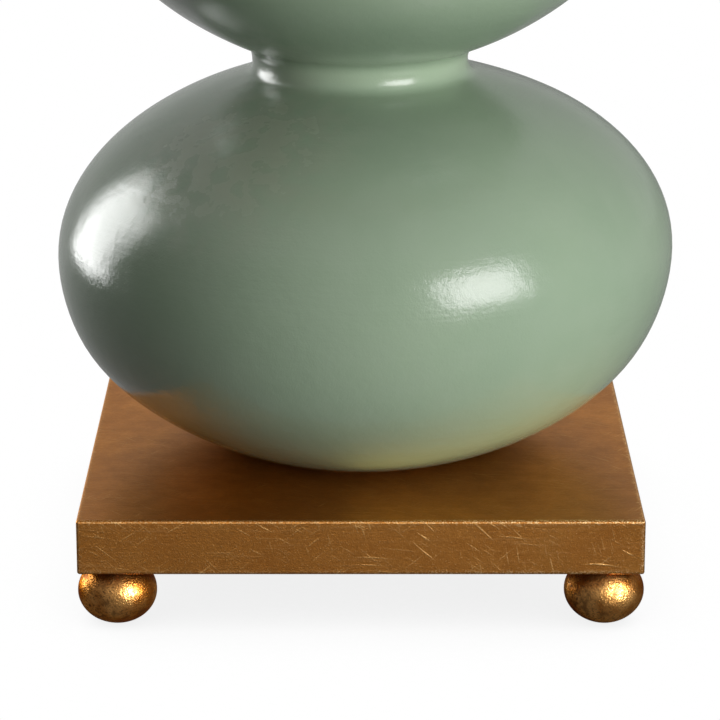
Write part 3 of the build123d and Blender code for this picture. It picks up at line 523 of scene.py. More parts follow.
class Finish:
    """A material in the making: its tree, its shader, and the place on the piece's surface."""

    def __init__(self, name, base, roughness, metallic=0.0, **constants):
        self.material = bpy.data.materials.new(name)
        self.material.use_nodes = True
        self.material.diffuse_color = (*base, 1.0)
        self.tree = self.material.node_tree
        self.tree.nodes.clear()
        self.shader = self.tree.nodes.new("ShaderNodeBsdfPrincipled")
        self.done(Base_Color=base, Roughness=roughness, Metallic=metallic, **constants)
        out = self.tree.nodes.new("ShaderNodeOutputMaterial")
        self.tree.links.new(self.shader.outputs[0], out.inputs["Surface"])
        self.place = self.tree.nodes.new("ShaderNodeTexCoord").outputs["Object"]

    def done(self, **values):
        """Sets or links the shader's inputs, and returns the material."""
        for key, value in values.items():
            fill(self.tree, self.shader.inputs[key.replace("_", " ")], value)
        return self.material

    def use(self, shared, **values):
        """Places a shared effect, and returns its results by name."""
        made = self.tree.nodes.new("ShaderNodeGroup")
        made.node_tree = shared
        for key, value in {"Place": self.place, **values}.items():
            fill(self.tree, made.inputs[key.replace("_", " ")], value)
        return made.outputs

    def clouds(self, scale, level=0.5, softness=0.5):
        return self.use(cloudy_tone, Scale=scale, Level=level, Softness=softness)["Mask"]

    def grain(self, scale):
        return self.use(fine_grain, Scale=scale)["Height"]

    def rings(self, scale):
        return self.use(turning_lines, Scale=scale)["Height"]

    def times(self, first, second):
        return times(self.tree, first, second)

    def fade(self, *values):
        return fade(self.tree, *values)

    def tint(self, below, colour, mask, share=1.0, blend="MIX"):
        """The colour below with another over it, by a share of a mask."""
        if share != 1.0:
            mask = self.times(mask, share)
        return node(self.tree, "ShaderNodeMix", {0: mask, 6: below, 7: colour},
                    data_type="RGBA", blend_type=blend).outputs[2]

    def gloss(self, start, *dulled):
        """A roughness that starts at a value and grows by a share of each mask."""
        for mask, share in dulled:
            start = plus(self.tree, start, self.times(mask, share))
        return start

    def bumps(self, *layers):
        """A normal from heights and their depths in metres, the lowest first."""
        inputs = {}
        for height, depth in layers:
            inputs |= {"Height": height, "Distance": depth, "Strength": 1.0}
            inputs["Normal"] = node(self.tree, "ShaderNodeBump", inputs).outputs[0]
        return inputs["Normal"]


def make_glaze():
    """Celadon: paler in the necks, as thin glaze and a painted sheen; darker bands of pooled glaze
    and painted shade in the creases and under each bulb's overhang; a dull cloud with a painted
    dull reflection; and iron specks.
    """
    own = Finish("celadon_glaze", CELADON, 0.18, IOR=1.5)
    base = own.tint(CELADON_DEEP, CELADON_LIGHT, own.clouds(14.0))
    base = own.tint(base, GLAZE_VEIL, own.clouds(55.0, 0.52, 0.35), 0.25)
    # Paler band in each neck waist: partly thin glaze, partly a painted sheen where the neck
    # catches light.
    for waist in (LOWER_WAIST, UPPER_WAIST):
        thin_and_sheen = own.use(ring_band, Height=waist * MM, Width=0.009)["Mask"]
        base = own.tint(base, GLAZE_THIN_SHEEN, thin_and_sheen, 0.45)
    # Darker bands at each neck's ends and on the bulb's underside above it: partly pooled glaze,
    # partly painted shade in the creases and under the overhang.
    for bottom, top in ((LOWER_NECK_BOTTOM, LOWER_NECK_TOP),
                        (UPPER_NECK_BOTTOM, UPPER_NECK_TOP)):
        for height, width, depth in ((bottom, 2.6, 0.12), (top, 5.0, 0.2),
                                     (top + 16.0, 22.0, 0.34)):
            pool_and_shade = own.use(ring_band, Height=height * MM, Width=width * MM)["Mask"]
            base = own.tint(base, GLAZE_POOL_AND_SHADE, pool_and_shade, depth)
    specks = own.use(pin_specks, Per_metre=62.0, Size=0.026, Share=0.45)["Mask"]
    base = own.tint(base, GLAZE_SPECK, specks, 0.7)
    # A duller cloud at the upper left: rougher glaze, with a lighter, greyer tint as a painted dull
    # reflection.
    away = node(own.tree, "ShaderNodeVectorMath", {0: own.place, 1: DULL_AND_REFLECTION_PATCH},
                operation="DISTANCE").outputs["Value"]
    dull_and_reflection = own.times(own.fade(away, 0.058, 0.016), own.clouds(120.0, 0.46, 0.3))
    base = own.tint(base, GLAZE_DULL_REFLECTION, dull_and_reflection, 0.6)
    gloss = own.gloss(0.16, (dull_and_reflection, 0.16), (own.clouds(26.0, 0.58), 0.03))
    normal = own.bumps((own.rings(150.0), 0.00009), (own.grain(150.0), 0.00016),
                       (own.grain(1400.0), 0.00006), (own.times(specks, -1.0), 0.0002))
    return own.done(Base_Color=base, Roughness=gloss, Normal=normal)


def make_gilt_plinth():
    """Bronze leaf laid with a brush and scratched, with bright specks as painted glints, rubbed
    bright along its edges with a painted highlight that grows towards the right, and painted shade
    on its top.
    """
    own = Finish("gold_leaf_plinth", LEAF, 0.36, 0.9, Specular_Tint=(1.0, 0.72, 0.42),
                 Coat_Weight=0.16, Coat_Roughness=0.24, Coat_IOR=1.45)
    spot = split(own.tree, own.place)
    top = own.fade(spot["Z"], (PLINTH_TOP - 0.8) * MM, (PLINTH_TOP - 0.1) * MM)
    side = own.fade(top, 0.0, 1.0, 1.0, 0.4)
    mottle = own.clouds(110.0, 0.5, 0.7)
    streaks = own.use(brushed_streaks, Scale=900.0)["Height"]
    grit = own.grain(1700.0)
    fine = own.use(short_scratches, Per_metre=560.0, Width=0.20, Share=0.5)["Mask"]
    long = own.use(short_scratches, Per_metre=190.0, Width=0.058, Share=0.5)["Mask"]
    scratches = calc(own.tree, "MAXIMUM", own.times(fine, 0.5), calc(own.tree, "POWER", long, 0.45))
    for share in (own.fade(own.clouds(38.0, 0.5, 0.3), 0.0, 0.7, 0.35, 1.0),
                  own.fade(grit, 0.35, 0.60, 0.35, 1.0), side,
                  own.fade(spot["X"], 0.03, 0.09, 0.85, 1.1)):
        scratches = own.times(scratches, share)
    edges = own.use(slab_edges, Half_side=PLINTH_SIDE * MM / 2,
                    Half_height=PLINTH_THICKNESS * MM / 2,
                    Middle_height=(PLINTH_BOTTOM + PLINTH_TOP) * MM / 2, Width=0.0022)["Mask"]
    # Edge wear, made brighter towards the right as a painted highlight.
    rubbed_edge_highlight = own.times(own.times(edges, own.fade(grit, 0.46, 0.60)),
                       own.fade(spot["X"], -0.02, 0.09, 0.35, 1.0))
    base = own.tint(LEAF_DEEP, LEAF_LIGHT, own.clouds(22.0))
    base = own.tint(base, LEAF_MOTTLE, mottle, 0.55)
    base = own.tint(base, LEAF_STREAK, own.fade(streaks, 0.50, 0.80, 0.0, 0.35))
    # Painted shade: the top face is multiplied darker than the sides.
    base = own.tint(base, LEAF_TOP_SHADE, top, 0.9, "MULTIPLY")
    base = own.tint(base, LEAF_GRIME, own.clouds(900.0, 0.5, 0.7), 0.3)
    base = own.tint(base, LEAF_RUBBED_AND_GLINT, scratches)
    # Painted glints: bright specks from the grain, on the side faces only.
    base = own.tint(base, LEAF_RUBBED_AND_GLINT, own.times(own.fade(grit, 0.60, 0.72), side), 0.3)
    base = own.tint(base, LEAF_EDGE_WEAR_HIGHLIGHT, rubbed_edge_highlight)
    normal = own.bumps((streaks, 0.00003), (grit, 0.00007), (scratches, 0.00006))
    return own.done(Base_Color=base, Roughness=own.gloss(0.32, (mottle, 0.08)), Normal=normal,
                    Coat_Weight=own.fade(top, 0.0, 1.0, 0.14, 0.34))


def make_gilt_feet():
    """Rougher gilding than the plinth's, worn in clouds, dark in its grain, and with painted shade
    at the top under the plinth.
    """
    own = Finish("antique_gold_feet", FOOT_GOLD, 0.30, 0.97, Specular_Tint=(0.40, 0.20, 0.07),
                 Coat_Weight=0.07, Coat_Roughness=0.22, Coat_IOR=1.6)
    dark = calc(own.tree, "MAXIMUM", own.clouds(240.0, 0.58, 0.2),
                own.fade(own.grain(1100.0), 0.50, 0.36))
    # Painted shade: darker towards the top of the foot, under the plinth.
    top = own.fade(split(own.tree, own.place)["Z"], FOOT_HALF_HEIGHT * 1.1 * MM,
                   PLINTH_BOTTOM * MM, 0.0, 0.75)
    base = own.tint(FOOT_DEEP, FOOT_WORN, own.clouds(95.0, 0.52, 0.3))
    base = own.tint(base, FOOT_SPECK, dark, 0.8)
    base = own.tint(base, FOOT_SHADE, top)
    normal = own.bumps((own.grain(380.0), 0.00007), (own.grain(1500.0), 0.00020))
    return own.done(Base_Color=base, Roughness=own.gloss(0.30, (dark, 0.2)), Normal=normal)


def turned_metal(name, light, dark, roughness, lines=2600.0):
    """Metal with the fine rings that a lathe or a spinning tool leaves, and light tarnish."""
    own = Finish(name, light, roughness, 1.0)
    tarnish = own.clouds(160.0, 0.55, 0.4)
    return own.done(Base_Color=own.tint(light, dark, tarnish, 0.6),
                    Roughness=own.gloss(roughness - 0.04, (tarnish, 0.12)),
                    Normal=own.bumps((own.rings(lines), 0.00001)))


def drawn_wire(name, light, dark, roughness):
    """Plated wire, with faint clouds in its plating and a fine drawn grain."""
    own = Finish(name, light, roughness, 1.0)
    cloud = own.clouds(70.0, 0.55)
    return own.done(Base_Color=own.tint(light, dark, cloud, 0.6),
                    Roughness=own.gloss(roughness - 0.03, (cloud, 0.08)),
                    Normal=own.bumps((own.grain(1800.0), 0.00001)))


def threaded_metal(name, light, dark, roughness, pitch):
    """Rolled thread on a rod, darker in its grooves."""
    own = Finish(name, light, roughness, 1.0)
    ridges, grain = own.use(thread_ridges, Pitch=pitch)["Height"], own.grain(1500.0)
    return own.done(Base_Color=own.tint(dark, light, ridges),
                    Roughness=own.gloss(roughness, (grain, 0.1)),
                    Normal=own.bumps((ridges, pitch * 0.35), (grain, 0.00001)))


def matt(name, light, dark, roughness, scale, depth, **constants):
    """A dull surface with a fine grain: felt, card, rubber, moulded plastic or enamel."""
    own = Finish(name, light, roughness, **constants)
    grain, patch = own.grain(scale), own.clouds(scale / 12)
    base = own.tint(light, dark, patch)
    return own.done(Base_Color=own.tint(base, dark, own.fade(grain, 0.35, 0.65), 0.5),
                    Roughness=own.gloss(roughness - 0.05, (patch, 0.1)),
                    Normal=own.bumps((grain, depth)))


def woven(name, light, dark, threads, depth):
    """Woven linen on a stiff backing, with slubs and a little unevenness of colour."""
    own = Finish(name, light, 0.85, Sheen_Weight=0.25, Sheen_Roughness=0.5)
    weave = own.use(linen_threads, Threads=threads)
    base = own.tint(dark, light, weave["Tone"])
    rough = minus(own.tree, 0.95, own.times(weave["Tone"], 0.15))
    return own.done(Base_Color=own.tint(base, dark, own.clouds(18.0, 0.5, 0.6), 0.2),
                    Roughness=rough, Normal=own.bumps((weave["Height"], depth)))


glaze, gilt_plinth, gilt_feet = make_glaze(), make_gilt_plinth(), make_gilt_feet()
brass = turned_metal("turned_brass", (0.74, 0.50, 0.20), (0.50, 0.29, 0.10), 0.2)
harp_brass = drawn_wire("brassed_harp_wire", (0.80, 0.58, 0.27), (0.60, 0.40, 0.17), 0.26)
zinc = turned_metal("zinc_steel", (0.52, 0.50, 0.46), (0.30, 0.29, 0.27), 0.28, 1800.0)
threaded_zinc = threaded_metal("zinc_pipe_thread", (0.62, 0.60, 0.54), (0.20, 0.18, 0.15), 0.34,
                               0.00094)
wire_nickel = drawn_wire("plated_shade_wire", (0.80, 0.74, 0.62), (0.66, 0.60, 0.48), 0.3)
contact_tin = turned_metal("rolled_contact_brass", (0.70, 0.55, 0.30), (0.46, 0.34, 0.17), 0.3,
                           1500.0)
felt = matt("base_felt", (0.018, 0.026, 0.018), (0.008, 0.012, 0.009), 0.95, 1600.0, 0.0003,
            Sheen_Weight=0.5, Sheen_Roughness=0.6)
cork = matt("gasket_card", (0.42, 0.30, 0.18), (0.28, 0.18, 0.10), 0.85, 900.0, 0.0001)
bushing = matt("brown_bushing", (0.060, 0.032, 0.016), (0.040, 0.020, 0.010), 0.45, 1300.0,
               0.00002)
fibre = matt("fibre_insulator", (0.20, 0.13, 0.08), (0.12, 0.075, 0.045), 0.7, 1100.0, 0.00005)
phenolic = matt("moulded_core", (0.030, 0.026, 0.024), (0.018, 0.015, 0.013), 0.4, 1400.0,
                0.00002)
lining = matt("white_lining", (0.80, 0.78, 0.72), (0.74, 0.71, 0.64), 0.55, 1000.0, 0.00003)
linen = woven("shade_linen", (0.80, 0.76, 0.66), (0.62, 0.57, 0.47), 1400.0, 0.00035)
linen_tape = woven("folded_tape", (0.77, 0.73, 0.63), (0.58, 0.53, 0.44), 1900.0, 0.00025)

# ---- Feet and ceramic body --------------------------------------------------------------


def lumpy(x, y):
    """The slight unevenness of a foot, different at each corner."""
    corner = 1.7 * x + 2.3 * y

    def sway(angle, radius, height):
        lump = sin(2 * angle + corner + height * 0.11) + 0.6 * sin(3 * angle - corner)
        return radius - FOOT_LUMP - FOOT_LUMP * lump * radius / FOOT_RADIUS, height
    return sway


foot_middle = FOOT_HALF_HEIGHT - FOOT_FLAT
flat_turn = degrees(asin(foot_middle / FOOT_HALF_HEIGHT))
seat_turn = degrees(asin((PLINTH_BOTTOM - foot_middle) / FOOT_HALF_HEIGHT))
foot = [(0, 0)]
foot += arc((0, foot_middle), FOOT_RADIUS, FOOT_HALF_HEIGHT, -flat_turn, seat_turn, 40)
foot += [(0, PLINTH_BOTTOM)]
for end, y in (("front", -FOOT_OFFSET), ("back", FOOT_OFFSET)):
    for side, x in (("left", -FOOT_OFFSET), ("right", FOOT_OFFSET)):
        piece(f"gilded_foot_{end}_{side}",
              turned(foot, 96, closed=False, sway=lumpy(x, y), centre=(x, y)), "root",
              gilt_feet, f"foot_{end}_{side}")


def bulb_turn(radius, bulb_radius):
    """Ellipse angle in degrees where a bulb's surface has this radius."""
    return degrees(acos(radius / bulb_radius))


def melted(points, reach=GLAZE_ROLL, step=0.5):
    """An outline resampled finely, with every corner rounded as thick glaze rounds it."""
    lengths = [0.0]
    for a, b in zip(points, points[1:]):
        lengths.append(lengths[-1] + hypot(b[0] - a[0], b[1] - a[1]))
    count, k, fine = int(lengths[-1] / step), 0, []
    for i in range(count + 1):
        along = lengths[-1] * i / count
        while k < len(points) - 2 and lengths[k + 1] < along:
            k += 1
        share = (along - lengths[k]) / max(lengths[k + 1] - lengths[k], 1e-9)
        fine.append(Vector(points[k]).lerp(Vector(points[k + 1]), share))
    span = int(3 * reach / step)
    weights = [exp(-((i * step / reach) ** 2) / 2) for i in range(-span, span + 1)]
    result = [points[0]]
    for i in range(span, count - span):
        middle = sum((fine[i + j] * w for j, w in zip(range(-span, span + 1), weights)),
                     Vector((0, 0))) / sum(weights)
        neck_gap = min(abs(middle.y - LOWER_WAIST), abs(middle.y - UPPER_WAIST))
        near = neck_gap < 14 and middle.x < 70
        if i % (2 if near else 8) == 0:
            result.append((middle.x, middle.y))
    return result + [points[-1]]


def body_outline():
    """The ceramic's outside from its foot ring to its rim, then back down its inside."""
    points = []
    for centre, (radius, drop, rise), foot, root, steps in (
            (LOWER_CENTRE, LOWER_BULB, CONTACT_RING, LOWER_NECK_ROOT, (40, 44)),
            (MIDDLE_CENTRE, MIDDLE_BULB, LOWER_NECK_ROOT, UPPER_NECK_ROOT, (40, 40)),
            (UPPER_CENTRE, UPPER_BULB, UPPER_NECK_ROOT, RIM_ROOT, (36, 36))):
        start = 1 if points else 0
        points += arc((0, centre), radius, drop, -bulb_turn(foot, radius), 0, steps[0])[start:]
        points += arc((0, centre), radius, rise, 0, bulb_turn(root, radius), steps[1])[1:]
        if root == LOWER_NECK_ROOT:
            points += cove((root, LOWER_NECK_BOTTOM), LOWER_NECK[0], (root, LOWER_NECK_TOP),
                           14)[1:]
        elif root == UPPER_NECK_ROOT:
            points += cove((root, UPPER_NECK_BOTTOM), UPPER_NECK[0], (root, UPPER_NECK_TOP),
                           12)[1:]
    points = melted(points)
    points += softened([(RIM_ROOT, RIM_BOTTOM), (RIM_RADIUS, RIM_BOTTOM + RIM_HEIGHT / 2),
                        (RIM_RADIUS, BODY_TOP)], 1.5, closed=False)[1:]
    points += [(CERAMIC_HOLE, BODY_TOP), (CERAMIC_HOLE, BODY_TOP - CERAMIC_WALL),
               (CERAMIC_HOLE, BODY_BOTTOM), (CONTACT_RING - 4, BODY_BOTTOM)]
    return points


def around(height, middle, width):
    """1 at a height, and fading to 0 above and below it."""
    return exp(-((height - middle) / width) ** 2)


def below(height, level, width):
    """1 under a level and 0 over it, with a soft change."""
    return 1 / (1 + exp((height - level) / width))


def thrown(angle, radius, height):
    """The unevenness of a hand-finished body: fuller on the right, low on the left shoulder.

    All lengths are in millimetres; swell goes outwards, and drop goes down."""
    right = cos(angle)
    lower = below(height, LOWER_NECK_BOTTOM, 3)
    middle = (1 - lower) * below(height, MIDDLE_CENTRE + 35, 8)
    waist = around(height, LOWER_WAIST, 7)
    share = min(1.0, max(0.0, (radius - LOWER_NECK[0]) / 40))
    shoulder = around(height, LOWER_CENTRE + 42, 39)
    belly = around(height, LOWER_CENTRE - 40, 18)
    swell = lower * (-0.5 + shoulder * (0.5 + 1.9 * right) + belly * (1.05 - 0.3 * right))
    swell += middle * (1.3 + 0.6 * right)
    swell += 0.12 * sin(2 * angle + height * 0.021) + 0.1 * sin(3 * angle + height * 0.04 + 2)
    drop = 1.3 * around(height, LOWER_WAIST, 14)
    drop += lower * 0.5 * around(height, LOWER_CENTRE + 52, 18) * (1 - right) / 2
    drop -= middle * around(height, MIDDLE_CENTRE - 55, 22) * (0.65 + 0.25 * right)
    return radius + share * swell + 1.5 * waist * (1 - share), height - drop


def set_down(shape):
    """Moves the turned body a little to the right of the plinth's middle, as it was set down."""
    moved = []
    for x, y, z in shape[0]:
        height = z / MM
        lower = below(height, LOWER_NECK_BOTTOM, 3)
        waist = around(height, LOWER_WAIST, 7)
        shift = (lower + 0.8 * (1 - lower) * below(height, MIDDLE_CENTRE + 35, 8)) * (1 - waist)
        moved.append((x + (shift - 0.3 * waist) * MM, y, z))
    return moved, shape[1]


piece("glazed_gourd", set_down(turned(body_outline(), 320, sway=thrown)), "root", glaze,
      "gourd_body")

# ---- Brass neck, lamp holder and switch -------------------------------------------------


def stand(points, height):
    """An outline lifted to the height that it stands at."""
    return [(radius, level + height) for radius, level in points]


def forward(shape, height):
    """Lays a turned shape down, so that its axis points to the front at this height."""
    return [(x, -z, y + height * MM) for x, y, z in shape[0]], shape[1]


cap_edge, cap_bead = RIM_RADIUS + CAP_OVERHANG - 0.8, 0.8
cap_outline = [(RIM_RADIUS - CAP_SEAT_WIDTH, 0), (cap_edge - 0.3, 0)]
cap_outline += arc((cap_edge, cap_bead), cap_bead, cap_bead, -80, 120, 10)
cap_outline += [(cap_edge - 1.1, 1.3), (cap_edge - 1.8, 1.5)]
cap_outline += bowed((cap_edge - 2.0, 1.9), (CAP_CROWN_RADIUS + 1.2, CAP_HEIGHT - 1.0), 1.3, 16)
cap_outline += [(CAP_CROWN_RADIUS + 0.9, CAP_HEIGHT - 0.35), (CAP_CROWN_RADIUS, CAP_HEIGHT),
                (PIPE_HOLE, CAP_HEIGHT), (PIPE_HOLE, CAP_HEIGHT - CAP_THICKNESS),
                (CAP_CROWN_RADIUS, CAP_HEIGHT - CAP_THICKNESS)]
cap_outline += bowed((CAP_CROWN_RADIUS, CAP_HEIGHT - CAP_THICKNESS),
                     (RIM_RADIUS - CAP_SEAT_WIDTH, 0.3), -1.0, 10)[1:]
piece("spun_vase_cap", turned(stand(cap_outline, CAP_BOTTOM), 160), "root", brass,
      "vase_cap")

half = SPACER_HEIGHT / 2
spool = [(PIPE_HOLE, 0), (SPACER_END_RADIUS, 0), (SPACER_END_RADIUS, SPACER_END_BAND),
         (SPACER_END_RADIUS - 1.0, SPACER_END_BAND + 0.5)]
spool += bowed((SPACER_END_RADIUS - 1.2, SPACER_END_BAND + 0.7), (6.9, half - 1.2), -0.5, 8)
spool += arc((6.9, half), 1.1, 1.1, -80, 0, 5)
spool += [(radius, SPACER_HEIGHT - level) for radius, level in reversed(spool[:-1])]
piece("turned_neck_spacer", turned(stand(softened(spool, 0.4), SPACER_BOTTOM), 96), "root",
      brass, "neck_spacer")


def knurled(angle, radius, height):
    """Fine upright grooves on the widest part of an edge."""
    on_edge = radius > NECK_RING_RADIUS - KNURL_DEPTH
    return radius - (KNURL_DEPTH * abs(sin(KNURL_WAVES * angle)) if on_edge else 0.0), height


ring = softened([(PIPE_HOLE, 0), (NECK_RING_RADIUS - 0.7, 0), (NECK_RING_RADIUS, 0.6),
                 (NECK_RING_RADIUS, NECK_RING_THICKNESS - 0.6),
                 (NECK_RING_RADIUS - 0.7, NECK_RING_THICKNESS),
                 (PIPE_HOLE, NECK_RING_THICKNESS)], 0.15)
piece("knurled_neck_ring", turned(stand(ring, NECK_RING_BOTTOM), 360, sway=knurled), "root",
      brass, "neck_ring", sharp_angle=60)

lip_outside = HOLDER_RADIUS + LOOSE_GAP + HOLDER_SHEET
lip_inside = HOLDER_RADIUS + LOOSE_GAP
lip_foot, lip_top = HUB_HEIGHT + HOLDER_CAP_RISE, HUB_HEIGHT + HOLDER_CAP_RISE + HOLDER_LIP_HEIGHT
bell = [(PIPE_HOLE, 0), (HUB_RADIUS - 0.4, 0), (HUB_RADIUS, 0.4), (HUB_RADIUS, HUB_HEIGHT - 0.5),
        (HUB_RADIUS + 0.3, HUB_HEIGHT)]
bell += bowed((HUB_RADIUS + 0.5, HUB_HEIGHT + 0.1), (lip_outside - 0.7, lip_foot - 0.6), 2.4, 18)
bell += arc((lip_outside - 0.4, lip_foot + 0.3), 0.55, 0.7, -60, 60, 6)
bell += [(lip_outside - 0.1, lip_foot + 1.4), (lip_outside, lip_foot + 2.0),
         (lip_outside, lip_top - 0.8)]
bell += arc((lip_outside - 0.25, lip_top - 0.4), 0.45, 0.4, -30, 180, 8)
bell += [(lip_inside, lip_top - 0.8), (lip_inside, lip_foot + 0.3)]
bell += bowed((lip_inside - 0.2, lip_foot), (HUB_RADIUS - 0.4, HUB_HEIGHT + 0.8), -2.2, 12)
bell += [(PIPE_HOLE, HUB_HEIGHT + 0.6)]
piece("spun_socket_cap", turned(stand(bell, SADDLE_TOP), 128), "root", brass,
      "socket_cap")

sleeve_inside = HOLDER_RADIUS - HOLDER_SHEET
sleeve = [(sleeve_inside, 0), (HOLDER_RADIUS, 0), (HOLDER_RADIUS, 13.0), (HOLDER_RADIUS, 25.6)]
sleeve += arc((HOLDER_RADIUS - 0.1, 26.8), 0.7, 1.0, -80, 80, 10)
sleeve += [(HOLDER_RADIUS, 28.2), (HOLDER_RADIUS, 31.4)]
sleeve += arc((HOLDER_RADIUS - 0.1, 32.6), 0.7, 1.0, -80, 80, 10)
sleeve += [(HOLDER_RADIUS, 34.0), (HOLDER_RADIUS, HOLDER_LENGTH - 1.2)]
sleeve += arc((HOLDER_RADIUS - 0.1, HOLDER_LENGTH - 0.6), 0.5, 0.6, -70, 180, 10)
sleeve += [(sleeve_inside, HOLDER_LENGTH - 1.2), (sleeve_inside, 13.0)]
shell = piece("beaded_socket_shell", turned(stand(sleeve, SHELL_BOTTOM), 128), "root", brass,
              "socket_shell")
drill = turned([(0, 0), (SPINDLE_HOLE, 0), (SPINDLE_HOLE, 2 * HOLDER_RADIUS),
                (0, 2 * HOLDER_RADIUS)], 32, closed=False)
cut_away(shell, new_object("drill", forward(drill, SPINDLE_HEIGHT)))


def rolled(angle, radius, height):
    """The coarse round thread that is rolled into the sheet of a lamp holder."""
    start, end = CORE_TOP + SCREW_FOOT_HEIGHT + 1.0, CORE_TOP + SCREW_DEPTH - 1.2
    if not start < height < end:
        return radius, height
    ease = min(1.0, (height - start) / 1.5, (end - height) / 1.5)
    wave = 0.5 - 0.5 * cos(tau * height / SCREW_PITCH - angle)
    return radius - ROLLED_THREAD_DEPTH * wave * ease, height


shell_outside, foot_outside = SCREW_BORE + SCREW_SHEET, SCREW_FOOT_RADIUS + SCREW_SHEET
rows = [SCREW_FOOT_HEIGHT + (SCREW_DEPTH - SCREW_FOOT_HEIGHT) * i / 56 for i in range(57)]
can = [(CONTACT_HOLE, 0), (foot_outside, 0), (foot_outside, SCREW_FOOT_HEIGHT - SCREW_SHEET)]
can += [(shell_outside, level) for level in rows]
can += [(SCREW_BORE, level) for level in reversed(rows)]
can += [(SCREW_FOOT_RADIUS, SCREW_FOOT_HEIGHT), (SCREW_FOOT_RADIUS, SCREW_SHEET),
        (CONTACT_HOLE, SCREW_SHEET)]
piece("rolled_screw_shell", turned(stand(can, CORE_TOP), 96, sway=rolled), "root", contact_tin,
      "screw_shell")


def fluted(angle, radius, height):
    """Finger grooves along a knob."""
    if radius < KNOB_RADIUS - 1.5:
        return radius, height
    groove = max(0.0, cos(KNOB_FLUTES * angle)) ** 2
    return radius - FLUTE_DEPTH * groove, height


knob_start, knob_end = HOLDER_RADIUS + KNOB_GAP, HOLDER_RADIUS + KNOB_GAP + KNOB_LENGTH
knob = [(0, knob_start), (2.6, knob_start), (2.9, knob_start + 0.9),
        (KNOB_RADIUS - 0.9, knob_start + 1.3), (KNOB_RADIUS - 0.1, knob_start + 2.0)]
knob += [(KNOB_RADIUS, knob_start + 3.0), (KNOB_RADIUS - 0.15, knob_end - 2.6)]
knob += arc((0, knob_end - 1.6), KNOB_RADIUS - 0.3, 1.6, 10, 90, 12)
piece("fluted_switch_knob", forward(turned(knob, 200, closed=False, sway=fluted),
                                    SPINDLE_HEIGHT), "switch", phenolic,
      "switch_knob", sharp_angle=50)

# ---- Harp, its stud and the finial ------------------------------------------------------


def bent_line(points, radii, steps=14):
    """Points of a line with a round bend of its own radius at each inner corner."""
    result = [Vector(points[0])]
    for before, here, after, radius in zip(points, points[1:], points[2:], radii):
        corner = Vector(here)
        back, on = (Vector(before) - corner).normalized(), (Vector(after) - corner).normalized()
        half = back.angle(on) / 2
        centre = corner + (back + on).normalized() * radius / sin(half)
        start = corner + back * radius / tan(half) - centre
        end = corner + on * radius / tan(half) - centre
        for i in range(steps + 1):
            share = i / steps
            way = (start * sin((1 - share) * start.angle(end))
                   + end * sin(share * start.angle(end))) / sin(start.angle(end))
            result.append(centre + way)
    return result + [Vector(points[-1])]


def round_wire(path, radius, sides=20):
    """A wire along a line in the XZ plane, with slightly rounded ends."""
    vertices, faces = [], []
    rings = [(path[0], 0.6)] + [(point, 1.0) for point in path] + [(path[-1], 0.6)]
    for i, (point, share) in enumerate(rings):
        k = min(max(i - 1, 0), len(path) - 1)
        way = (path[min(k + 1, len(path) - 1)] - path[max(k - 1, 0)]).normalized()
        side = Vector((-way.y, way.x))
        if share < 1:
            point = point + way * 0.4 * (-1 if i == 0 else 1)
        for j in range(sides):
            turn = tau * j / sides
            across = side * radius * share * cos(turn)
            vertices.append(((point.x + across.x) * MM, radius * share * sin(turn) * MM,
                             (point.y + across.y) * MM))
    for i in range(len(rings) - 1):
        for j in range(sides):
            k = (j + 1) % sides
            faces.append([i * sides + j, i * sides + k, (i + 1) * sides + k,
                          (i + 1) * sides + j])
    faces += [list(range(sides)), list(range((len(rings) - 1) * sides, len(rings) * sides))]
    return vertices, faces


def together(first, second):
    """Two shapes as one."""
    shift = len(first[0])
    return (list(first[0]) + list(second[0]),
            list(first[1]) + [[v + shift for v in face] for face in second[1]])


leg = SADDLE_HALF_SPAN + HARP_LEG_GAP + HARP_WIRE_RADIUS
leg_foot = SADDLE_BOTTOM + SADDLE_RISE + LOOSE_GAP
flare, wide = leg_foot + HARP_LEG_HEIGHT, leg_foot + HARP_LEG_HEIGHT + HARP_FLARE_HEIGHT
wire_top = SEAT_HEIGHT - STUD_FLANGE_THICKNESS - HARP_WIRE_RADIUS
wire_line = bent_line([(-leg, leg_foot + 0.4), (-leg, flare), (-HARP_HALF_WIDTH, wide),
                       (-HARP_HALF_WIDTH, wire_top), (HARP_HALF_WIDTH, wire_top),
                       (HARP_HALF_WIDTH, wide), (leg, flare), (leg, leg_foot + 0.4)],
                      [HARP_FLARE_BEND, HARP_SIDE_BEND, HARP_SHOULDER_BEND,
                       HARP_SHOULDER_BEND, HARP_SIDE_BEND, HARP_FLARE_BEND])
eye = softened([(STUD_SHAFT + 0.1, wire_top - HARP_WIRE_RADIUS),
                (HARP_BOSS_RADIUS, wire_top - HARP_WIRE_RADIUS),
                (HARP_BOSS_RADIUS, wire_top + HARP_WIRE_RADIUS),
                (STUD_SHAFT + 0.1, wire_top + HARP_WIRE_RADIUS)], 0.7)
piece("bent_harp", together(round_wire(wire_line, HARP_WIRE_RADIUS), turned(eye, 64)), "harp",
      harp_brass, "harp", sharp_angle=50)


def threaded(angle, radius, height):
    """A fine sharp thread on the post above the seat."""
    if radius > POST_RADIUS + 0.01 or radius < 1.0 or height < SEAT_HEIGHT + 0.8:
        return radius, height
    turns = height / POST_PITCH - angle / tau
    saw = abs((turns % 1.0) * 2 - 1)
    ease = min(1.0, (SEAT_HEIGHT + POST_HEIGHT - height) / 0.8)
    return radius - POST_THREAD_DEPTH * (1 - saw) - 0.35 * (1 - ease), height


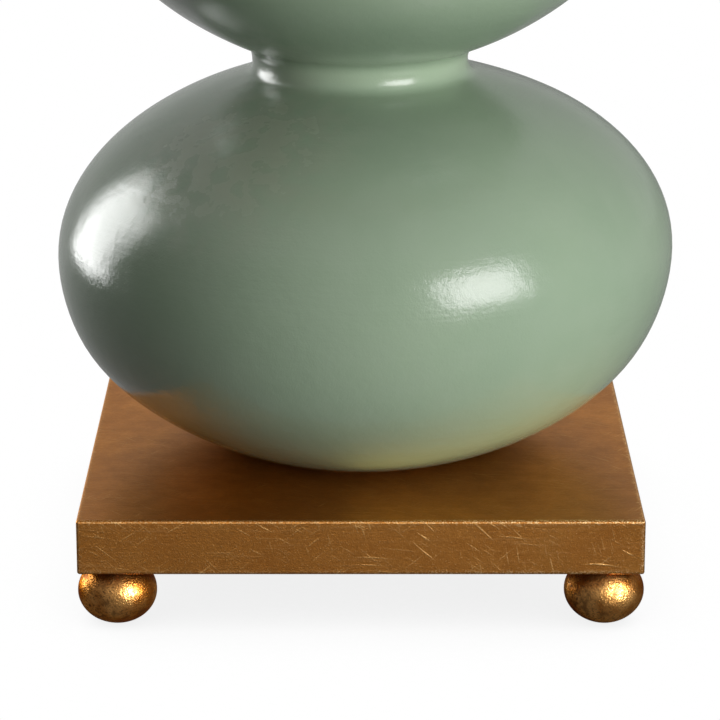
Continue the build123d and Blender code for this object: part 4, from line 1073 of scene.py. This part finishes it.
head_top = SEAT_HEIGHT - STUD_FLANGE_THICKNESS - 2 * HARP_WIRE_RADIUS - STUD_HEAD_GAP
flange_bottom = SEAT_HEIGHT - STUD_FLANGE_THICKNESS
stem = softened([(0, head_top - STUD_HEAD_THICKNESS), (STUD_HEAD_RADIUS, head_top
                 - STUD_HEAD_THICKNESS), (STUD_HEAD_RADIUS, head_top), (STUD_SHAFT, head_top),
                (STUD_SHAFT, flange_bottom), (STUD_FLANGE_RADIUS, flange_bottom),
                (STUD_FLANGE_RADIUS, SEAT_HEIGHT), (POST_RADIUS, SEAT_HEIGHT)], 0.35,
                closed=False)
stem += [(POST_RADIUS, SEAT_HEIGHT + POST_HEIGHT * i / 84) for i in range(1, 85)]
stem += [(0, SEAT_HEIGHT + POST_HEIGHT)]
piece("threaded_harp_stud", turned(stem, 64, closed=False, sway=threaded), "harp_stud", brass,
      "harp_stud")

bore = POST_RADIUS + POST_GAP
bore_depth = POST_HEIGHT - SPIDER_WASHER + FINIAL_BORE_ROOM
ball_middle = FINIAL_COLLAR_HEIGHT + FINIAL_STEM_HEIGHT + FINIAL_BALL / 2
top = [(0, bore_depth), (bore, bore_depth), (bore, 0), (FINIAL_COLLAR - 0.3, 0),
       (FINIAL_COLLAR, 0.3)]
top += arc((FINIAL_COLLAR - 0.6, 1.0), 0.6, 0.7, 0, 90, 6)
top += [(FINIAL_STEM + 0.7, FINIAL_COLLAR_HEIGHT)]
top += bowed((FINIAL_STEM + 0.4, FINIAL_COLLAR_HEIGHT + 0.3), (FINIAL_STEM, 5.2), -0.35, 6)
top += arc((FINIAL_STEM - 0.1, 6.2), 0.9, 0.75, -80, 80, 8)
top += [(FINIAL_STEM, 7.2)]
top += arc((0, ball_middle), FINIAL_BALL, FINIAL_BALL, -58, 74, 44)
top += arc((0, ball_middle + FINIAL_BALL), FINIAL_TIP, FINIAL_TIP, -42, 90, 18)
piece("turned_finial", turned(stand(top, FINIAL_BOTTOM), 96, closed=False), "finial", brass,
      "finial")

# ---- Shade ------------------------------------------------------------------------------


def lapped(angle, radius, height):
    """The cloth's glued seam at the back, and the slight unevenness of a rolled card."""
    along = (angle - pi / 2) * radius
    lap = 0.0
    if -SEAM_HALF < along < SEAM_HALF - SEAM_STEP:
        lap = SEAM_RISE * (along + SEAM_HALF) / (2 * SEAM_HALF)
    wave = 0.25 * sin(3 * angle + 0.7) + 0.15 * sin(7 * angle + height * 0.013)
    return radius + lap + wave, height


levels = [SHADE_BOTTOM + SHADE_HEIGHT * i / 10 for i in range(11)]
cloth = [(shade_radius(level), level) for level in levels]
cloth += [(shade_radius(level, FABRIC), level) for level in reversed(levels)]
piece("linen_shade_cloth", turned(cloth, 960, sway=lapped), "shade", linen,
      "shade_fabric")


def taped(edge):
    """Folded tape's unevenness: its free edge wanders a little, and it puckers."""
    def sway(angle, radius, height):
        new_radius, _ = lapped(angle, radius, height)
        pucker = sin(41 * angle) * sin(17 * angle + 1.0)
        free = min(1.0, abs(height - edge) / TAPE_WIDTH)
        return (new_radius + TAPE_PUCKER * pucker,
                height + free * TAPE_WANDER * sin(5 * angle + edge))
    return sway


wall = FABRIC + LINING
for name, edge, side in (("shade_top_trim", SHADE_TOP, 1), ("shade_bottom_trim", SHADE_BOTTOM, -1)):
    free_edge = edge - side * TAPE_WIDTH
    strip = [(shade_radius(free_edge), free_edge),
             (shade_radius(free_edge, -TAPE), free_edge),
             (shade_radius(edge - side * TAPE_WIDTH / 2, -TAPE), edge - side * TAPE_WIDTH / 2),
             (shade_radius(edge, -TAPE), edge + side * TAPE),
             (shade_radius(edge, wall), edge + side * TAPE), (shade_radius(edge, wall), edge),
             (shade_radius(edge), edge)]
    piece("folded_" + name, turned(softened(strip, 0.3), 720, sway=taped(edge)), "shade",
          linen_tape, name)

# ---- Camera, floor and light ------------------------------------------------------------

CAMERA_PLACE, CAMERA_DIP, CAMERA_LENS = (-0.00029, -1.2633, 0.4574), 16.99, 173.0
BULB_MIDDLE = Vector((0, 0, 0.118))
WHITE = (1.0, 1.0, 1.0)
ROSY = (1.0, 0.93, 1.0)
PALE_BLUE = (0.8, 1.0, 1.0)
WARM = (1.0, 0.72, 0.28)

camera_data = bpy.data.cameras.new("photo_camera")
camera_data.lens, camera_data.sensor_width = CAMERA_LENS, 36.0
camera_data.clip_start, camera_data.clip_end = 0.05, 100.0
camera = bpy.data.objects.new("photo_camera", camera_data)
camera.location = CAMERA_PLACE
camera.rotation_euler = (radians(90 - CAMERA_DIP), 0, 0)
bpy.context.scene.collection.objects.link(camera)
bpy.context.scene.camera = camera
bpy.context.scene.view_settings.view_transform = "Standard"


def area_lamp(name, wide, tall, watts, colour):
    """A rectangular light that the camera doesn't see."""
    data = bpy.data.lights.new(name, "AREA")
    data.shape = "RECTANGLE"
    data.size, data.size_y = wide, tall
    data.energy, data.color = watts, colour
    lamp = bpy.data.objects.new(name, data)
    lamp.visible_camera = False
    bpy.context.scene.collection.objects.link(lamp)
    return lamp


# Soft lights aimed at the lower bulb. "shine" gives only reflections, "fill" only even light.
# What it gives, azimuth (0 is the front, 90 the right) and elevation in degrees, distance,
# width and height in metres, watts, roll in degrees, colour.
SOFT_LIGHTS = {
    "left_window": ("shine", -115, 12, 0.8, 0.38, 0.58, 6.0, -10, WHITE),
    "right_window": ("shine", 41, 12, 1.0, 0.52, 0.42, 6.7, 8, ROSY),
    "right_fill": ("fill", 41, 6, 0.9, 0.55, 0.45, 8.3, 0, WHITE),
    "slab_glow": ("shine", 2, -3, 1.3, 1.5, 0.8, 9.8, 0, WHITE),
    "feet_glint": ("shine", 40, 12, 1.0, 0.28, 0.27, 19.0, 8, PALE_BLUE),
    "back_fill": ("fill", 178, 6, 1.1, 0.8, 0.7, 5.0, 0, WHITE),
    "shade_fill": ("fill", 42, 38, 2.2, 1.0, 1.0, 44.0, 0, WHITE),
    "top_fill": ("fill", 0, 90, 1.6, 0.5, 0.5, 12.0, 0, WHITE),
    "left_fill": ("fill", -108, 28, 1.2, 0.8, 0.7, 3.4, 0, WHITE),
}
for name, (gives, azimuth, elevation, distance, wide, tall, watts, roll, colour) in (
        SOFT_LIGHTS.items()):
    a, e = radians(azimuth), radians(elevation)
    way = Vector((sin(a) * cos(e), -cos(a) * cos(e), sin(e)))
    lamp = area_lamp(name, wide, tall, watts, colour)
    lamp.location = BULB_MIDDLE + way * distance
    lamp.rotation_euler = (-way).to_track_quat("-Z", "Y").to_euler()
    lamp.rotation_euler.rotate_axis("Z", radians(roll))
    lamp.visible_diffuse, lamp.visible_glossy = gives == "fill", gives == "shine"

# Small warm lights on the plinth, for the glow that the gilding throws up on the glaze:
# place across and along, width, depth, watts.
for name, x, y, wide, deep, watts in (("front_bounce", 0.052, -0.084, 0.11, 0.03, 0.0095),
                                      ("right_bounce", 0.086, -0.020, 0.03, 0.15, 0.0115)):
    lamp = area_lamp(name, wide, deep, watts, WARM)
    lamp.location = (x, y, (PLINTH_TOP + 0.5) * MM)
    lamp.rotation_euler = (pi, 0, 0)
    lamp.visible_glossy = False


def make_floor():
    """A pale floor with a soft contact shadow, that fades into the pale room."""
    floor = new_object("studio_floor", turned([(0, 0), (600, 0), (3000, 0), (20000, 0)], 96,
                                              closed=False))
    made = bpy.data.materials.new("pale_floor")
    made.use_nodes = True
    tree = made.node_tree
    tree.nodes.clear()
    place = tree.nodes.new("ShaderNodeTexCoord").outputs["Object"]
    spot = split(tree, place)
    paint = node(tree, "ShaderNodeBsdfDiffuse", {"Color": (0.16, 0.16, 0.16)})
    contact = node(tree, "ShaderNodeAmbientOcclusion", {"Distance": 0.07}, samples=8)
    deep = calc(tree, "POWER", contact.outputs["AO"], 0.8)
    shade = times(tree, fade(tree, deep, 0.0, 0.9, 0.84, 1.0),
                  fade(tree, noise(tree, place, 300.0), 0.0, 1.0, 0.995, 1.005))
    glow = times(tree, fade(tree, spot["Y"], -0.3, 0.5, 0.06, 0.5),
                 fade(tree, spot["X"], -0.1, 0.25, 1.0, 0.5))
    bright, sweep = (node(tree, "ShaderNodeEmission", {"Color": WHITE, "Strength": strength})
                     for strength in (shade, glow))
    path = tree.nodes.new("ShaderNodeLightPath").outputs
    unseen = node(tree, "ShaderNodeMixShader", {0: path["Is Glossy Ray"], 1: paint.outputs[0],
                                                2: sweep.outputs[0]})
    mixed = node(tree, "ShaderNodeMixShader", {0: path["Is Camera Ray"], 1: unseen.outputs[0],
                                               2: bright.outputs[0]})
    out = tree.nodes.new("ShaderNodeOutputMaterial")
    tree.links.new(mixed.outputs[0], out.inputs["Surface"])
    floor.data.materials.append(made)


def make_room():
    """White to the camera; a bright backdrop behind the lamp and little light elsewhere."""
    world = bpy.data.worlds.new("studio_room")
    world.use_nodes = True
    tree = world.node_tree
    tree.nodes.clear()
    way = split(tree, tree.nodes.new("ShaderNodeTexCoord").outputs["Generated"])
    behind = times(tree, fade(tree, way["Y"], 0.25, 0.85),
                   fade(tree, way["X"], -0.7, 0.5, 0.52, 0.42))
    front = fade(tree, way["Y"], -0.2, -0.9, 0.085, 0.18)
    ceiling = fade(tree, way["Z"], 0.25, 0.8, 0.0, 0.35)
    backdrop = plus(tree, plus(tree, front, ceiling), behind)
    path = tree.nodes.new("ShaderNodeLightPath").outputs
    even = times(tree, path["Is Diffuse Ray"],
                 fade(tree, calc(tree, "ABSOLUTE", way["Z"]), 0.0, 0.7, 0.11, 0.02))
    shine = times(tree, minus(tree, 1.0, path["Is Diffuse Ray"]), backdrop)
    strength = calc(tree, "MAXIMUM", path["Is Camera Ray"], plus(tree, even, shine))
    sky = node(tree, "ShaderNodeBackground", {"Color": WHITE, "Strength": strength})
    out = tree.nodes.new("ShaderNodeOutputWorld")
    tree.links.new(sky.outputs[0], out.inputs["Surface"])
    bpy.context.scene.world = world


make_floor()
make_room()

# ---- Finishes of the pieces carried over from the frame ---------------------------------

CARRIED = {
    gilt_plinth: ["plinth"],
    felt: ["base_felt"],
    bushing: ["cord_bushing"],
    zinc: ["foot_studs", "base_washer", "base_nut", "harp_saddle"],
    threaded_zinc: ["lamp_pipe"],
    cork: ["seat_gasket", "cap_gasket"],
    brass: ["socket_set_screw", "switch_spindle", "ferrule_left", "ferrule_right"],
    fibre: ["socket_insulator"],
    phenolic: ["socket_core"],
    contact_tin: ["centre_contact", "terminal_screws"],
    wire_nickel: ["shade_spider", "shade_bottom_ring"],
    lining: ["shade_liner"],
}
for material, names in CARRIED.items():
    for name in names:
        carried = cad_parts[name]
        if not carried.material_slots:
            carried.data.materials.append(material)
        for entry in carried.material_slots:
            entry.material = material

# ---- Lights that reach only some pieces -------------------------------------------------

UPPER_NODES = ("harp_saddle", "socket_set_screw", "socket_insulator", "socket_core",
               "centre_contact", "terminal_screws", "shade_spider", "shade_bottom_ring",
               "shade_liner", "switch_spindle", "ferrule_left", "ferrule_right")
UPPER_PIECES = ("bent_harp", "spun_vase_cap", "turned_neck_spacer", "knurled_neck_ring",
                "spun_socket_cap", "beaded_socket_shell", "rolled_screw_shell",
                "fluted_switch_knob", "threaded_harp_stud", "turned_finial",
                "linen_shade_cloth", "folded_shade_top_trim", "folded_shade_bottom_trim")

upper = [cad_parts[name] for name in UPPER_NODES]
upper += [bpy.data.objects[name] for name in UPPER_PIECES]
lower = [thing for thing in bpy.context.scene.objects
         if thing.type == "MESH" and thing not in upper]
feet = [thing for thing in lower if thing.name.startswith("gilded_foot")]
for name, lamps, lit in (("upper_pieces", ("shade_fill", "top_fill"), upper),
                         ("lower_pieces", ("right_fill",), lower),
                         ("gilded_slab", ("slab_glow",), [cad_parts["plinth"]]),
                         ("gilded_feet", ("feet_glint",), feet)):
    receivers = bpy.data.collections.new(name)
    for thing in lit:
        receivers.objects.link(thing)
    for lamp in lamps:
        bpy.data.objects[lamp].light_linking.receiver_collection = receivers
